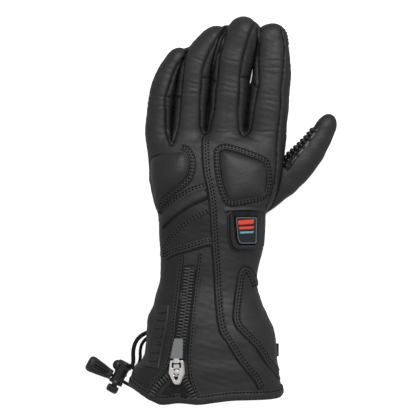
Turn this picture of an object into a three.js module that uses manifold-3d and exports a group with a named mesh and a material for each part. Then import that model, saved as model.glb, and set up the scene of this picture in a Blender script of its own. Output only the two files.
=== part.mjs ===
// A left-hand heated gauntlet glove, lying on its palm, in millimetres.
// X points to the thumb side, Y to the fingertips and Z up from the palm to the back of the hand.
// The origin is on the flat underside of the palm, under the middle of the hand.
import * as THREE from "three";
import Module from "manifold-3d";
import { mergeVertices } from "three/addons/utils/BufferGeometryUtils.js";

const wasm = await Module();
wasm.setup();

// Hand and cuff
const cuffLength = 103;
const handLength = 116;
const mouthWidth = 126;
const wristWidth = 80.5;
const knuckleWidth = 115;
const mouthHeight = 58;
const wristHeight = 44;
const knuckleHeight = 38;
const wall = 3;
const seamGap = 0.3;
const hemBow = 7;
const palmFlattening = 3;
const bodyPower = 2.5;

// Digits
const indexLength = 93;
const indexWidth = 32;
const middleLength = 100;
const middleWidth = 32;
const ringLength = 96;
const ringWidth = 28;
const littleLength = 86;
const littleWidth = 19.6;
const fingerThickness = 27;
const thumbLength = 93;
const thumbWidth = 27;
const thumbThickness = 25;
const digitTipRound = 12;
const digitEmbed = 30;
const digitPower = 2.2;
const taperStart = 0.4;

// Strips between the fingers
const fourchetteWidth = 18;
const webDepth = 11;
const indexStripStart = 14;

// Leather and padding sewn on the skin
const leather = 1.4;
const padThickness = 4.2;
const padBevel = 2.6;
const padBorder = 3.2;
const knucklePadWidth = 39.8;
const knucklePadLength = 41.5;
const sidePadWidth = 34;
const sidePadLength = 46.4;
const upperPleatWidth = 6;
const lowerPleatWidth = 10.4;
const pleatThickness = 2.8;
const seamStripWidth = 6.6;

// Control button
const housingWidth = 25.4;
const housingLength = 31.4;
const housingHeight = 4.6;
const buttonWidth = 18.7;
const buttonLength = 22;
const buttonThickness = 2.4;
const buttonProud = 0.8;
const buttonTravel = 1;
const movingGap = 0.35;

// Zip
const zipTapeWidth = 13;
const zipTapeThickness = 1.2;
const chainWidth = 8;
const chainThickness = 1.8;
const openChainWidth = 3.6;
const sliderLength = 20;
const sliderWidth = 13.3;
const sliderHeight = 4.4;
const sliderFloor = 1;
const pullLength = 17;
const pullWidth = 10.4;
const pullThickness = 2.6;
const tongueWidth = 4.4;
const hingeInset = 1.5;
const hingeStandoff = 2.7;
const hingePinDiameter = 1.4;
const earDepth = 2;
const tongueOverlap = 1;

// Cuff trim
const stripWidth = 11.5;
const stripThickness = 1.4;
const ribCount = 7;
const ribHeight = 0.9;
const hemWidth = 8;
const hemOverhang = 1.6;
const sideTabWidth = 11;
const sideTabReach = 3;
const sidePanelClearance = 2;

// Drawcord set
const outerCordDiameter = 3.6;
const innerCordDiameter = 2.8;
const lockLength = 20.4;
const lockDiameter = 9;
const lockCollarDiameter = 12.4;
const lockCollarLength = 4;
const lockTaper = 2;
const lockRim = 1;
const lockRimLength = 2;
const edgeBevel = 1;
const knobDiameter = 9;
const plungerReach = 6;
const plungerTravel = 1.4;
const plungerDepth = 2.2;
const plungerHeadDiameter = 10;
const plungerStemDiameter = 5;
const bellLength = 21;
const bellDiameter = 12;
const bellNeckDiameter = 7.4;
const bellBoreDepth = 11;

// Facets
const bodySides = 18;
const digitSides = 12;
const innerSides = 8;
const turnedSides = 12;
const cordSides = 8;
const sliverSize = 0.05;

// Places along Y
const forksY = 0.472 * handLength;
const wristY = forksY - handLength;
const hemY = wristY - cuffLength;
const knuckleCut = forksY - webDepth;
const cuffCut = wristY + 0.17 * handLength;
const beyond = 400;

const lerp = (a, b, t) => a + (b - a) * t;
const clamp = (v, low, high) => Math.min(high, Math.max(low, v));
const radians = (degrees) => (degrees * Math.PI) / 180;
const smooth = (t) => t * t * (3 - 2 * t);

// Cuff sections from the hem to the wrist. along is a share of cuffLength, wide and tall say how far
// the width and the height are from the wrist's to the mouth's, and shift is a share of wristWidth.
const cuffRows = [
  { along: 0.0, wide: 1.0, tall: 1.0, shift: -0.062 },
  { along: 0.09, wide: 1.0, tall: 1.0, shift: -0.072 },
  { along: 0.18, wide: 0.93, tall: 0.97, shift: -0.082 },
  { along: 0.25, wide: 0.85, tall: 0.93, shift: -0.07 },
  { along: 0.31, wide: 0.7, tall: 0.88, shift: -0.043 },
  { along: 0.38, wide: 0.62, tall: 0.82, shift: -0.026 },
  { along: 0.57, wide: 0.51, tall: 0.62, shift: -0.036 },
  { along: 0.67, wide: 0.4, tall: 0.46, shift: -0.057 },
  { along: 0.77, wide: 0.18, tall: 0.28, shift: -0.057 },
];
// Hand sections from the wrist to the finger forks. along is a share of handLength, wide says how far
// the width is from the wrist's to the knuckles', fall the same for the height, and shift is a share
// of knuckleWidth.
const handRows = [
  { along: 0.0, wide: 0.0, fall: 0.0, shift: -0.029 },
  { along: 0.22, wide: 0.17, fall: 0.0, shift: -0.007 },
  { along: 0.43, wide: 0.26, fall: 0.0, shift: -0.007 },
  { along: 0.52, wide: 0.53, fall: 0.1, shift: 0.003 },
  { along: 0.66, wide: 0.81, fall: 0.38, shift: 0.011 },
  { along: 0.86, wide: 0.9, fall: 1.1, shift: 0.021 },
  { along: 1.01, wide: 0.96, fall: 2.4, shift: 0.018 },
];
const bodyRows = [
  ...cuffRows.map((row) => ({
    y: hemY + row.along * cuffLength,
    halfWidth: lerp(wristWidth, mouthWidth, row.wide) / 2,
    top: lerp(wristHeight, mouthHeight, row.tall),
    x: row.shift * wristWidth,
  })),
  ...handRows.map((row) => ({
    y: wristY + row.along * handLength,
    halfWidth: lerp(wristWidth, knuckleWidth, row.wide) / 2,
    top: lerp(wristHeight, knuckleHeight, row.fall),
    x: row.shift * knuckleWidth,
  })),
];
const bodyEnd = bodyRows.at(-1).y;

// Digits. root is where the digit leaves the hand, as shares of knuckleWidth and handLength from the
// origin. lean holds the angles from +Y towards +X at the root, the middle and the tip, in degrees.
// height holds the middle of the root and of the tip above the floor, as shares of the thickness.
const digits = {
  index: { length: indexLength, width: indexWidth, thickness: fingerThickness,
    root: [0.381, 0.472], lean: [4, 6, -9], height: [0.57, 0.41], tipShare: 0.76 },
  middle: { length: middleLength, width: middleWidth, thickness: fingerThickness,
    root: [0.092, 0.472], lean: [4.5, 6, 17], height: [0.58, 0.44], tipShare: 0.9 },
  ring: { length: ringLength, width: ringWidth, thickness: fingerThickness,
    root: [-0.178, 0.472], lean: [4, 6, 38], height: [0.57, 0.41], tipShare: 0.8 },
  little: { length: littleLength, width: littleWidth, thickness: 0.86 * fingerThickness,
    root: [-0.392, 0.4], lean: [1, 8, 40], height: [0.6, 0.44], tipShare: 0.85 },
  thumb: { length: thumbLength, width: thumbWidth, thickness: thumbThickness,
    root: [0.354, -0.013], lean: [44, 39, 18], height: [0.54, 0.46], tipShare: 0.8 },
};
const fingerNames = ["index", "middle", "ring", "little"];
const embedShare = 0.72;
// Stations along a digit, as shares of its length, then of the rounded tip, outside and in the hollow
const digitStations = [-1, 0, 0.25, 0.5, 0.66, 0.8];
const tipStations = [0, 0.5, 0.8, 0.95];
const innerStations = [-1, 0, 0.4, 0.7];
const innerTipStations = [0, 0.6, 0.92];
const spineStations = [-0.5, 0, 0.3, 0.5, 0.7, 0.85, 1];

// Outlines of the pads, in shares of half their width and half their length about their middle
const knucklePadOutline = [
  [-1, 0.92], [-0.88, 1], [-0.5, 0.98], [-0.12, 0.87], [0.3, 0.73], [0.64, 0.6], [0.9, 0.42], [1, 0.1],
  [1, -0.25], [0.94, -0.6], [0.8, -0.82], [0.4, -0.88], [-0.3, -1], [-0.56, -1], [-0.7, -0.88],
  [-0.84, -0.45], [-0.94, 0.05], [-1, 0.5],
];
const sidePadOutline = [
  [0, 0.98], [0.63, 1], [0.88, 0.82], [1, 0.54], [0.95, 0.21], [0.83, 0], [0.49, -0.18], [0, -0.46],
  [-0.44, -0.79], [-0.63, -1], [-0.83, -0.71], [-0.98, -0.14], [-1, 0.36], [-0.88, 0.75], [-0.49, 0.93],
];
// Paths over the hand, as shares of knuckleWidth and handLength from the origin
const handPaths = {
  centreSeam: [[-0.062, 0.45], [-0.054, 0.35], [-0.042, 0.22], [-0.022, 0.08], [-0.007, -0.08],
    [0.004, -0.24], [0.018, -0.42]],
  upperPleat: [[-0.048, 0.068], [-0.14, 0.02], [-0.245, -0.036], [-0.325, -0.093], [-0.385, -0.16]],
  lowerPleat: [[-0.042, -0.024], [-0.11, -0.063], [-0.195, -0.12], [-0.274, -0.178], [-0.36, -0.26]],
  wristFold: [[0.06, -0.04], [0.2, -0.048], [0.3, -0.05], [0.38, -0.042]],
};
// Outlines over the hand, in the same shares
const wristPanelOutline = [
  [-0.03, -0.13], [-0.09, -0.165], [-0.16, -0.205], [-0.23, -0.262], [-0.3, -0.335], [-0.37, -0.405],
  [-0.37, -0.436], [-0.274, -0.401], [-0.166, -0.351], [-0.094, -0.329], [-0.02, -0.313],
];
// Paths over the cuff, as shares of mouthWidth from the origin and of cuffLength from the hem
const cuffPaths = {
  centreSeam: [[0.018, 1.06], [0.028, 0.88], [0.043, 0.652], [0.066, 0.54], [0.112, 0.442],
    [0.184, 0.33], [0.257, 0.217], [0.31, 0.1]],
  zipTape: [[-0.149, 1.1], [-0.16, 1], [-0.176, 0.837], [-0.19, 0.676], [-0.2, 0.515], [-0.214, 0.394],
    [-0.231, 0.297], [-0.25, 0.2], [-0.262, 0.1]],
  chain: [[-0.163, 1.055], [-0.17, 0.878], [-0.183, 0.716], [-0.195, 0.555], [-0.206, 0.434],
    [-0.221, 0.345]],
  leftChain: [[-0.276, 0.19], [-0.31, 0.15], [-0.345, 0.105]],
  rightChain: [[-0.2, 0.17], [-0.182, 0.13], [-0.158, 0.095]],
  ribbedStrip: [[-0.331, 0.757], [-0.346, 0.596], [-0.37, 0.42], [-0.392, 0.28]],
};
// Outline of the big panel on the thumb side of the cuff, in the same shares
const sidePanelOutline = [
  [0.165, 1.023], [0.178, 1.055], [0.217, 1.075], [0.237, 1.067], [0.27, 1.023], [0.33, 0.92],
  [0.56, 0.8], [0.56, 0.13], [0.44, 0.144], [0.369, 0.265], [0.31, 0.378], [0.231, 0.491],
  [0.152, 0.596], [0.132, 0.652], [0.142, 0.797], [0.161, 0.958],
];
// Outlines of the hard pieces, in shares of half their width and half their length
const sliderOutline = [[-0.84, 1], [0.84, 1], [1, -0.1], [0.42, -1], [-0.3, -1], [-1, -0.1]];
const pullOutline = [[-0.9, 1], [0.9, 1], [1, 0.92], [1, -1], [-1, -1], [-1, 0.92]];
const housingOutline = [
  [-0.92, 0.92], [-1, 0.74], [-0.95, -0.2], [-0.82, -0.73], [-0.62, -0.95], [-0.2, -1], [0.82, -0.96],
  [0.96, -0.76], [1, 0.35], [0.97, 0.92], [0.85, 1], [-0.75, 1],
];
const buttonOutline = [
  [-1, 0.9], [-0.9, 1], [0.92, 1], [1, 0.92], [0.96, -0.84], [0.82, -1], [-0.55, -1], [-0.78, -0.6],
  [-0.94, 0.4],
];
// Middles of the pads and the hard pieces, in the hand's or the cuff's shares
const housingMiddle = [0.213, -0.218];
const buttonShift = [1.6, 1];
const sliderMiddle = [-0.234, 0.225];
const knucklePadMiddle = [0.218, 0.184];
const sidePadMiddle = [-0.31, 0.165];
const sideTabAlong = 0.39;

// Outside of the bell: flare says how far its radius is from the neck's to the mouth's, and along is a
// share of bellLength.
const bellProfile = [
  { flare: 0, along: 0 },
  { flare: 0.13, along: 0.25 },
  { flare: 1, along: 0.8 },
  { flare: 0.83, along: 0.92 },
  { flare: 0, along: 1 },
];
// Routes of the drawcords, points chosen by hand
const outerCordRoute = [
  [-53.4, -109, 17.2], [-59.3, -112, 15.6], [-63.4, -116, 13.6], [-65.9, -121.2, 11.8], [-66.8, -127, 10.2],
  [-66.7, -132, 9.2], [-67, -136, 8.8], [-68.6, -138.6, 8.6],
];
const innerCordRoute = [
  [-52, -112.6, 10.6], [-56.4, -115.6, 9.2], [-59.8, -120.4, 7], [-61, -126, 5.2], [-61, -131.4, 4.2],
  [-62.2, -136.2, 4], [-65, -139.2, 4], [-68, -140.8, 4],
];
const tailCordRoute = [
  [-52.4, -160, 6], [-58.6, -159.4, 5.7], [-64.6, -157, 5.6], [-69.8, -154.4, 5.8], [-75, -151.5, 6.2],
  [-80.2, -148.5, 6.3], [-86.2, -145.1, 6.3], [-93.6, -141, 6.3],
];
const lockTop = [-72.4, -135.2, 6.5];
const lockHeading = 208.5;
const knobPlace = [-79.7, -137.4, 6.5];
const bellNeck = [-85.4, -145.6, 6.3];
const bellHeading = 299;

// Turns a closed geometry into a manifold-3d solid.
function solidOf(geometry) {
  const bare = geometry.index ? geometry.toNonIndexed() : geometry.clone();
  bare.deleteAttribute("normal");
  bare.deleteAttribute("uv");
  const merged = mergeVertices(bare, 1e-4);
  return new wasm.Manifold(
    new wasm.Mesh({
      numProp: 3,
      vertProperties: new Float32Array(merged.attributes.position.array),
      triVerts: new Uint32Array(merged.index.array),
    }),
  );
}

// Turns a manifold-3d solid back into a geometry, leaving out crumbs and slivers that a cut left behind.
function geometryOf(solid) {
  const largest = solid.simplify(sliverSize).decompose().reduce((a, b) => (b.volume() > a.volume() ? b : a));
  const mesh = largest.getMesh();
  const positions = new Float32Array(mesh.numVert * 3);
  for (let i = 0; i < mesh.numVert; i++)
    positions.set(mesh.vertProperties.subarray(i * mesh.numProp, i * mesh.numProp + 3), i * 3);
  const geometry = new THREE.BufferGeometry();
  geometry.setAttribute("position", new THREE.BufferAttribute(positions, 3));
  geometry.setIndex(new THREE.BufferAttribute(new Uint32Array(mesh.triVerts), 1));
  geometry.computeVertexNormals();
  return geometry;
}

// A closed solid through rings of equally many points, with flat ends.
function loft(rings) {
  const count = rings[0].length;
  const points = rings.flat();
  const faces = [];
  for (let r = 0; r + 1 < rings.length; r++)
    for (let i = 0; i < count; i++) {
      const [a, b] = [r * count + i, r * count + ((i + 1) % count)];
      faces.push(a, b, b + count, a, b + count, a + count);
    }
  for (const [ring, turned] of [[0, true], [rings.length - 1, false]]) {
    const middle = new THREE.Vector3();
    rings[ring].forEach((p) => middle.addScaledVector(p, 1 / count));
    points.push(middle);
    for (let i = 0; i < count; i++) {
      const pair = [ring * count + i, ring * count + ((i + 1) % count)];
      if (turned) pair.reverse();
      faces.push(...pair, points.length - 1);
    }
  }
  const geometry = new THREE.BufferGeometry().setFromPoints(points);
  geometry.setIndex(faces);
  const solid = solidOf(geometry);
  if (solid.volume() > 0) return solid;
  for (let i = 0; i < faces.length; i += 3) [faces[i + 1], faces[i + 2]] = [faces[i + 2], faces[i + 1]];
  geometry.setIndex(faces);
  return solidOf(geometry);
}

// Points of a rounded cross-section, as shares of its half width and half height.
function roundSection(sides, power) {
  return Array.from({ length: sides }, (_, i) => {
    const angle = (2 * Math.PI * (i + 0.5)) / sides;
    return [Math.cos(angle), Math.sin(angle)].map((c) => Math.sign(c) * Math.abs(c) ** (2 / power));
  });
}
const bodySection = roundSection(bodySides, bodyPower);
const digitSection = roundSection(digitSides, digitPower);
const innerSection = roundSection(innerSides, digitPower);

// The section of the body at any Y, in straight lines between the rows of the table.
function bodyRowAt(y) {
  const next = bodyRows.findIndex((row) => row.y > y);
  const i = next < 0 ? bodyRows.length - 2 : Math.max(0, next - 1);
  const [a, b] = [bodyRows[i], bodyRows[i + 1]];
  const t = (y - a.y) / (b.y - a.y);
  const [halfWidth, top, x] = ["halfWidth", "top", "x"].map((key) => lerp(a[key], b[key], t));
  return { y, halfWidth, top, x };
}

// How far the cuff's hem bows towards the arm, by the section's place and the share of half width.
const bowAt = (y, u) => hemBow * (1 - u * u) * clamp((wristY - y) / cuffLength, 0, 1) ** 2;

// The hand and cuff as a solid from Y from to Y to, grown by grow and flattened at floor.
function body({ grow = 0, floor = -grow, from = hemY, to = bodyEnd + grow }) {
  const inside = bodyRows.filter((row) => row.y > from + 0.01 && row.y < to - 0.01);
  return loft([bodyRowAt(from), ...inside, bodyRowAt(to)].map((row) => bodySection.map(([u, w]) => {
    const z = lerp(-palmFlattening - grow, row.top + grow, (w + 1) / 2);
    const x = row.x + u * (row.halfWidth + grow);
    return new THREE.Vector3(x, row.y - bowAt(row.y, u), Math.max(floor, z));
  })));
}

// Height of the skin over the floor at a plan point of the hand or cuff.
function skinTop(x, y) {
  const row = bodyRowAt(y);
  const u = clamp(Math.abs(x - row.x) / row.halfWidth, 0, 1);
  return lerp(-palmFlattening, row.top, (1 + (1 - u ** bodyPower) ** (1 / bodyPower)) / 2);
}

function leanAt([root, middle, tip], t) {
  if (t <= 0) return root;
  return t < 0.5 ? lerp(root, middle, t / 0.5) : lerp(middle, tip, (t - 0.5) / 0.5);
}

// A point of a digit's spine and its heading there, at t lengths from the root.
function spineAt(digit, t) {
  const steps = 40;
  let [x, y] = [digit.root[0] * knuckleWidth, digit.root[1] * handLength];
  for (let i = 0; i < steps; i++) {
    const heading = radians(leanAt(digit.lean, (t * (i + 0.5)) / steps));
    x += (Math.sin(heading) * t * digit.length) / steps;
    y += (Math.cos(heading) * t * digit.length) / steps;
  }
  return { x, y, heading: radians(leanAt(digit.lean, t)) };
}

// A digit as a solid, grown by grow and flattened at floor.
function digitSolid(name, { grow = 0, floor = -grow } = {}) {
  const digit = digits[name];
  const tipStart = 1 - digitTipRound / digit.length;
  const tipReach = (digitTipRound + grow) / digit.length;
  const hollow = grow < 0;
  const section = hollow ? innerSection : digitSection;
  const stations = [
    ...(hollow ? innerStations : digitStations).map((t) => (t < 0 ? (t * digitEmbed) / digit.length : t)),
    ...(hollow ? innerTipStations : tipStations).map((q) => tipStart + q * tipReach),
  ];
  return loft(stations.map((t) => {
    const { x, y, heading } = spineAt(digit, t);
    const narrowing = smooth(clamp((t - taperStart) / (1 - taperStart), 0, 1));
    const taper = t < 0 ? embedShare : lerp(1, digit.tipShare, narrowing);
    const q = clamp((t - tipStart) / tipReach, 0, 1);
    const dome = Math.sqrt(1 - q * q);
    const halfWidth = ((taper * digit.width) / 2 + grow) * dome;
    const halfDepth = ((taper * digit.thickness) / 2 + grow) * Math.sqrt(dome);
    const z = lerp(...digit.height, clamp(t, 0, 1)) * digit.thickness;
    return section.map(([u, w]) => new THREE.Vector3(
      x + u * halfWidth * Math.cos(heading),
      y - u * halfWidth * Math.sin(heading),
      Math.max(floor, z + w * halfDepth),
    ));
  }));
}

const unite = (solids) => solids.reduce((a, b) => a.add(b));

// A solid standing on a plan outline, from low to high, where each is a number or a function of Y.
function prism(outline, low = -beyond, high = beyond) {
  const shape = new THREE.Shape(outline.map(([x, y]) => new THREE.Vector2(x, y)));
  const geometry = new THREE.ExtrudeGeometry(shape, { depth: 1, bevelEnabled: false, steps: 1 });
  const position = geometry.attributes.position;
  for (let i = 0; i < position.count; i++) {
    const [a, b] = [low, high].map((z) => (typeof z === "function" ? z(position.getY(i)) : z));
    position.setZ(i, lerp(a, b, position.getZ(i)));
  }
  return solidOf(geometry);
}
const slab = (y0, y1, low, high, x0 = -beyond, x1 = beyond) =>
  prism([[x0, y0], [x1, y0], [x1, y1], [x0, y1]], low, high);

// Plan points from shares of the hand's or the cuff's sizes, and a smooth line through them
const onHand = ([across, along]) => [across * knuckleWidth, along * handLength];
const onCuff = ([across, along]) => [across * mouthWidth, hemY + along * cuffLength];
function smoothLine(points, divisions) {
  const curve = new THREE.CatmullRomCurve3(points.map(([x, y]) => new THREE.Vector3(x, y, 0)));
  return curve.getPoints(divisions).map((p) => [p.x, p.y]);
}

// The outline of a ribbon of even width along a plan line.
function ribbon(line, width) {
  const sides = [1, -1].map((side) => line.map(([x, y], i) => {
    const [a, b] = [line[Math.max(0, i - 1)], line[Math.min(line.length - 1, i + 1)]];
    const direction = new THREE.Vector2(b[0] - a[0], b[1] - a[1]).normalize();
    return [x - (direction.y * side * width) / 2, y + (direction.x * side * width) / 2];
  }));
  return [...sides[0], ...sides[1].reverse()];
}

// An outline in shares, spread about a middle point to a width and a length.
const spread = (outline, [x, y], width, length) =>
  outline.map(([u, v]) => [x + (u * width) / 2, y + (v * length) / 2]);

// Mid heights that split the back from the palm, over the cuff, the hand and the fingers
const cuffMid = (y) => lerp(mouthHeight, wristHeight, (y - hemY) / cuffLength) / 2;
const handMid = (y) => lerp(wristHeight, knuckleHeight, (y - wristY) / handLength) / 2;
const fingerMid = (y) => lerp(...digits.middle.height, (y - forksY) / middleLength) * fingerThickness;
const offset = (mid, by) => (y) => mid(y) + by;

// The skin grown to any thickness, so that a piece lies between two layers of it
const grownLayers = new Map();
function skinGrown(grow) {
  if (!grownLayers.has(grow)) grownLayers.set(grow, body({ grow, from: hemY - hemWidth }));
  return grownLayers.get(grow);
}
const backHalf = slab(-beyond, beyond, 0, beyond)
  .intersect(slab(-beyond, wristY, cuffMid, beyond).add(slab(wristY, beyond, handMid, beyond)));
// A piece of even thickness on the back of the hand or cuff, over an outline.
function onSkin(outline, thickness, lift = 0) {
  const layer = skinGrown(seamGap + lift + thickness).subtract(skinGrown(seamGap + lift));
  return layer.intersect(prism(outline)).intersect(backHalf);
}

// A frame lying on the skin at a plan point, with its Z square to the skin.
function frameOn(x, y) {
  const step = 2;
  const z = skinTop(x, y);
  const across = new THREE.Vector3(2 * step, 0, skinTop(x + step, y) - skinTop(x - step, y)).normalize();
  const ahead = new THREE.Vector3(0, 2 * step, skinTop(x, y + step) - skinTop(x, y - step)).normalize();
  const normal = new THREE.Vector3().crossVectors(across, ahead).normalize();
  ahead.crossVectors(normal, across);
  return new THREE.Matrix4().makeBasis(across, ahead, normal).setPosition(x, y, z);
}

// A plate with a plan outline in a frame, from low to high in it.
function plate(frame, outline, low, high) {
  const shape = new THREE.Shape(outline.map(([x, y]) => new THREE.Vector2(x, y)));
  const geometry = new THREE.ExtrudeGeometry(shape, { depth: high - low, bevelEnabled: false, steps: 1 });
  return solidOf(geometry.translate(0, 0, low).applyMatrix4(frame));
}
const rectangle = (x0, x1, y0, y1) => [[x0, y0], [x1, y0], [x1, y1], [x0, y1]];

// A raised pad with sloping sides on the back of the hand.
function pad(outline, middle, width, length) {
  const [foot, top] = [0, 2 * padBevel].map((by) => spread(outline, middle, width - by, length - by));
  const rings = [[foot, -beyond], [foot, -padThickness], [top, 2 * padThickness]].map(([line, lift]) =>
    line.map(([x, y]) => new THREE.Vector3(x, y, skinTop(x, y) + lift)));
  const layer = skinGrown(seamGap + padThickness).subtract(skinGrown(seamGap));
  return layer.intersect(loft(rings)).intersect(backHalf);
}

// A solid turned about its own axis from a profile, with its top at a point, heading down a plan angle.
function turned(profile, [x, y, z], heading) {
  const geometry = new THREE.LatheGeometry(profile.map(([r, h]) => new THREE.Vector2(r, h)), turnedSides);
  geometry.rotateZ(-radians(heading));
  geometry.translate(x, y, z);
  return solidOf(geometry);
}

// A round tube along a route.
function tube(route, diameter, extend = 0) {
  const points = route.map((p) => new THREE.Vector3(...p));
  const curve = new THREE.CatmullRomCurve3(points);
  const length = curve.getLength();
  const path = extend ? new THREE.CatmullRomCurve3([
    points[0].clone().addScaledVector(curve.getTangent(0), -extend),
    ...points,
    points.at(-1).clone().addScaledVector(curve.getTangent(1), extend),
  ]) : curve;
  const steps = Math.round(length / (2 * diameter)) + 2;
  const circle = Array.from({ length: cordSides }, (_, i) => {
    const angle = (2 * Math.PI * i) / cordSides;
    return new THREE.Vector2((Math.cos(angle) * diameter) / 2, (Math.sin(angle) * diameter) / 2);
  });
  const settings = { steps, extrudePath: path, bevelEnabled: false };
  return solidOf(new THREE.ExtrudeGeometry(new THREE.Shape(circle), settings));
}

// Finishes
const finish = (color, roughness, metalness = 0) =>
  new THREE.MeshStandardMaterial({ color, roughness, metalness });
const backLeather = finish(0x2b2b2e, 0.5);
const palmLeather = finish(0x242426, 0.62);
const sideCloth = finish(0x1c1c1e, 0.8);
const padLeather = finish(0x3a3a3e, 0.42);
const gripRubber = finish(0x121213, 0.3);
const moulding = finish(0x18181a, 0.45);
const buttonPlastic = finish(0x1b1d22, 0.25);
const zipPlastic = finish(0x3a3a3c, 0.5);
const tapeCloth = finish(0x161618, 0.85);
const chrome = finish(0xc8c8cc, 0.18, 1);
const pullRubber = finish(0x55595f, 0.4);
const cordCloth = finish(0x101011, 0.8);

const glove = new THREE.Group();
glove.name = "heated_glove";

function add(name, solid, material) {
  const mesh = new THREE.Mesh(geometryOf(solid), material);
  mesh.name = name;
  glove.add(mesh);
}

// Shell of the hand, the fingers and the thumb
function addShell() {
  const fingers = (options) => unite(fingerNames.map((name) => digitSolid(name, options)));
  const inner = { grow: -wall, floor: wall };
  const thumbCavity = digitSolid("thumb", inner);
  const bodyCavity = body({ ...inner, from: hemY - wall, to: bodyEnd - wall });
  const cavity = bodyCavity.add(fingers(inner)).add(thumbCavity);
  const shell = body({}).add(fingers({})).subtract(cavity);

  const middles = (name, by) => {
    const line = spineStations.map((t) => {
      const { x, y } = spineAt(digits[name], t);
      return [x + by, y];
    });
    return [...line, [line.at(-1)[0], line.at(-1)[1] + beyond]];
  };
  const strips = {
    fourchette_little_ring: ["little", "ring", knuckleCut],
    fourchette_ring_middle: ["ring", "middle", knuckleCut],
    fourchette_middle_index: ["middle", "index", knuckleCut],
    index_side_strip: ["index", null, indexStripStart],
  };
  const stripSlab = ([left, right, bottom], extra) => {
    const leftLine = middles(left, seamGap / 2 - extra);
    const rightLine = right ? middles(right, extra - seamGap / 2) : [[beyond, -beyond], [beyond, beyond]];
    const half = fourchetteWidth / 2 + extra;
    return prism([...rightLine, ...leftLine.reverse()], offset(fingerMid, -half), offset(fingerMid, half))
      .intersect(slab(bottom - extra, beyond, 0, beyond));
  };
  let cuts = null;
  for (const [name, strip] of Object.entries(strips)) {
    add(name, shell.intersect(stripSlab(strip, 0)), sideCloth);
    const cut = stripSlab(strip, seamGap);
    cuts = cuts ? cuts.add(cut) : cut;
  }
  const rest = shell.subtract(cuts);
  const half = seamGap / 2;
  const handTop = slab(cuffCut + half, knuckleCut, offset(handMid, half), beyond)
    .add(slab(knuckleCut, beyond, offset(fingerMid, half), beyond));
  const handUnder = slab(cuffCut + half, knuckleCut, -beyond, offset(handMid, -half))
    .add(slab(knuckleCut, beyond, -beyond, offset(fingerMid, -half)));
  add("hand_back", rest.intersect(handTop), backLeather);
  add("hand_palm", rest.intersect(handUnder), palmLeather);
  const cuffTop = slab(-beyond, cuffCut - half, offset(cuffMid, half), beyond);
  const cuffUnder = slab(-beyond, cuffCut - half, -beyond, offset(cuffMid, -half));
  add("cuff_back", shell.intersect(cuffTop), backLeather);
  add("cuff_palm", shell.intersect(cuffUnder), palmLeather);
  const clear = skinGrown(seamGap).add(fingers({ grow: seamGap }));
  add("thumb", digitSolid("thumb").subtract(thumbCavity).subtract(clear), backLeather);
}

// Pads, pleats, seam strips and panels on the back
function addBackPieces() {
  const seam = smoothLine([...handPaths.centreSeam.map(onHand), ...cuffPaths.centreSeam.map(onCuff)], 20);
  const seamOutline = ribbon(seam, seamStripWidth);
  const keepOff = prism(ribbon(seam, seamStripWidth + 2 * seamGap));
  const offLittle = digitSolid("little", { grow: seamGap });
  const pads = [
    ["knuckle_pad", knucklePadOutline, onHand(knucklePadMiddle), knucklePadWidth, knucklePadLength],
    ["side_pad", sidePadOutline, onHand(sidePadMiddle), sidePadWidth, sidePadLength],
  ];
  for (const [name, outline, middle, width, length] of pads) {
    add(name, pad(outline, middle, width, length), padLeather);
    const inner = spread(outline, middle, width + 2 * seamGap, length + 2 * seamGap);
    const outer = spread(outline, middle, width + 2 * padBorder, length + 2 * padBorder);
    const border = onSkin(outer, leather).subtract(prism(inner)).subtract(keepOff).subtract(offLittle);
    add(name + "_border", border, backLeather);
  }
  const offPads = pads.map(([, outline, middle, width, length]) => prism(
    spread(outline, middle, width + 2 * (padBorder + seamGap), length + 2 * (padBorder + seamGap)),
  )).reduce((a, b) => a.add(b)).add(keepOff);
  const pleat = (path, width) => ribbon(smoothLine(path.map(onHand), 10), width);
  const upper = pleat(handPaths.upperPleat, upperPleatWidth);
  const lower = pleat(handPaths.lowerPleat, lowerPleatWidth);
  add("upper_pleat", onSkin(upper, pleatThickness).subtract(offPads), backLeather);
  const offUpper = prism(pleat(handPaths.upperPleat, upperPleatWidth + 2 * seamGap));
  add("lower_pleat", onSkin(lower, pleatThickness).subtract(offPads).subtract(offUpper), backLeather);
  const offLower = prism(pleat(handPaths.lowerPleat, lowerPleatWidth + 2 * seamGap));
  const panel = onSkin(wristPanelOutline.map(onHand), leather);
  add("wrist_panel", panel.subtract(offLower).subtract(keepOff), backLeather);
  add("centre_seam_strip", onSkin(seamOutline, leather), backLeather);
  const fold = onSkin(ribbon(handPaths.wristFold.map(onHand), upperPleatWidth), pleatThickness);
  add("wrist_fold", fold.subtract(keepOff).subtract(offPads).subtract(offControl), backLeather);
  const side = onSkin(sidePanelOutline.map(onCuff), leather);
  const hemBand = slab(-beyond, hemY + hemWidth + sidePanelClearance, 0, beyond);
  add("cuff_side_panel", side.subtract(keepOff).subtract(hemBand), backLeather);
}

// Housing of the control and the button that is pressed into it
function addControl() {
  const [x, y] = onHand(housingMiddle);
  const frame = frameOn(x, y);
  const inside = (by) => spread(buttonOutline, buttonShift, buttonWidth + by, buttonLength + by);
  const buttonTop = housingHeight + buttonProud;
  const buttonBase = buttonTop - buttonThickness;
  const block = plate(frame, spread(housingOutline, [0, 0], housingWidth, housingLength), -wall, housingHeight);
  const pocket = plate(frame, inside(2 * movingGap), buttonBase - buttonTravel - movingGap, 2 * buttonTop);
  add("button_housing", block.subtract(pocket).subtract(skinGrown(seamGap)), moulding);
  add("heat_button", plate(frame, inside(0), buttonBase, buttonTop), buttonPlastic);
  return prism(spread(housingOutline, [x, y], housingWidth + 2 * leather, housingLength + 2 * leather));
}

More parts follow.
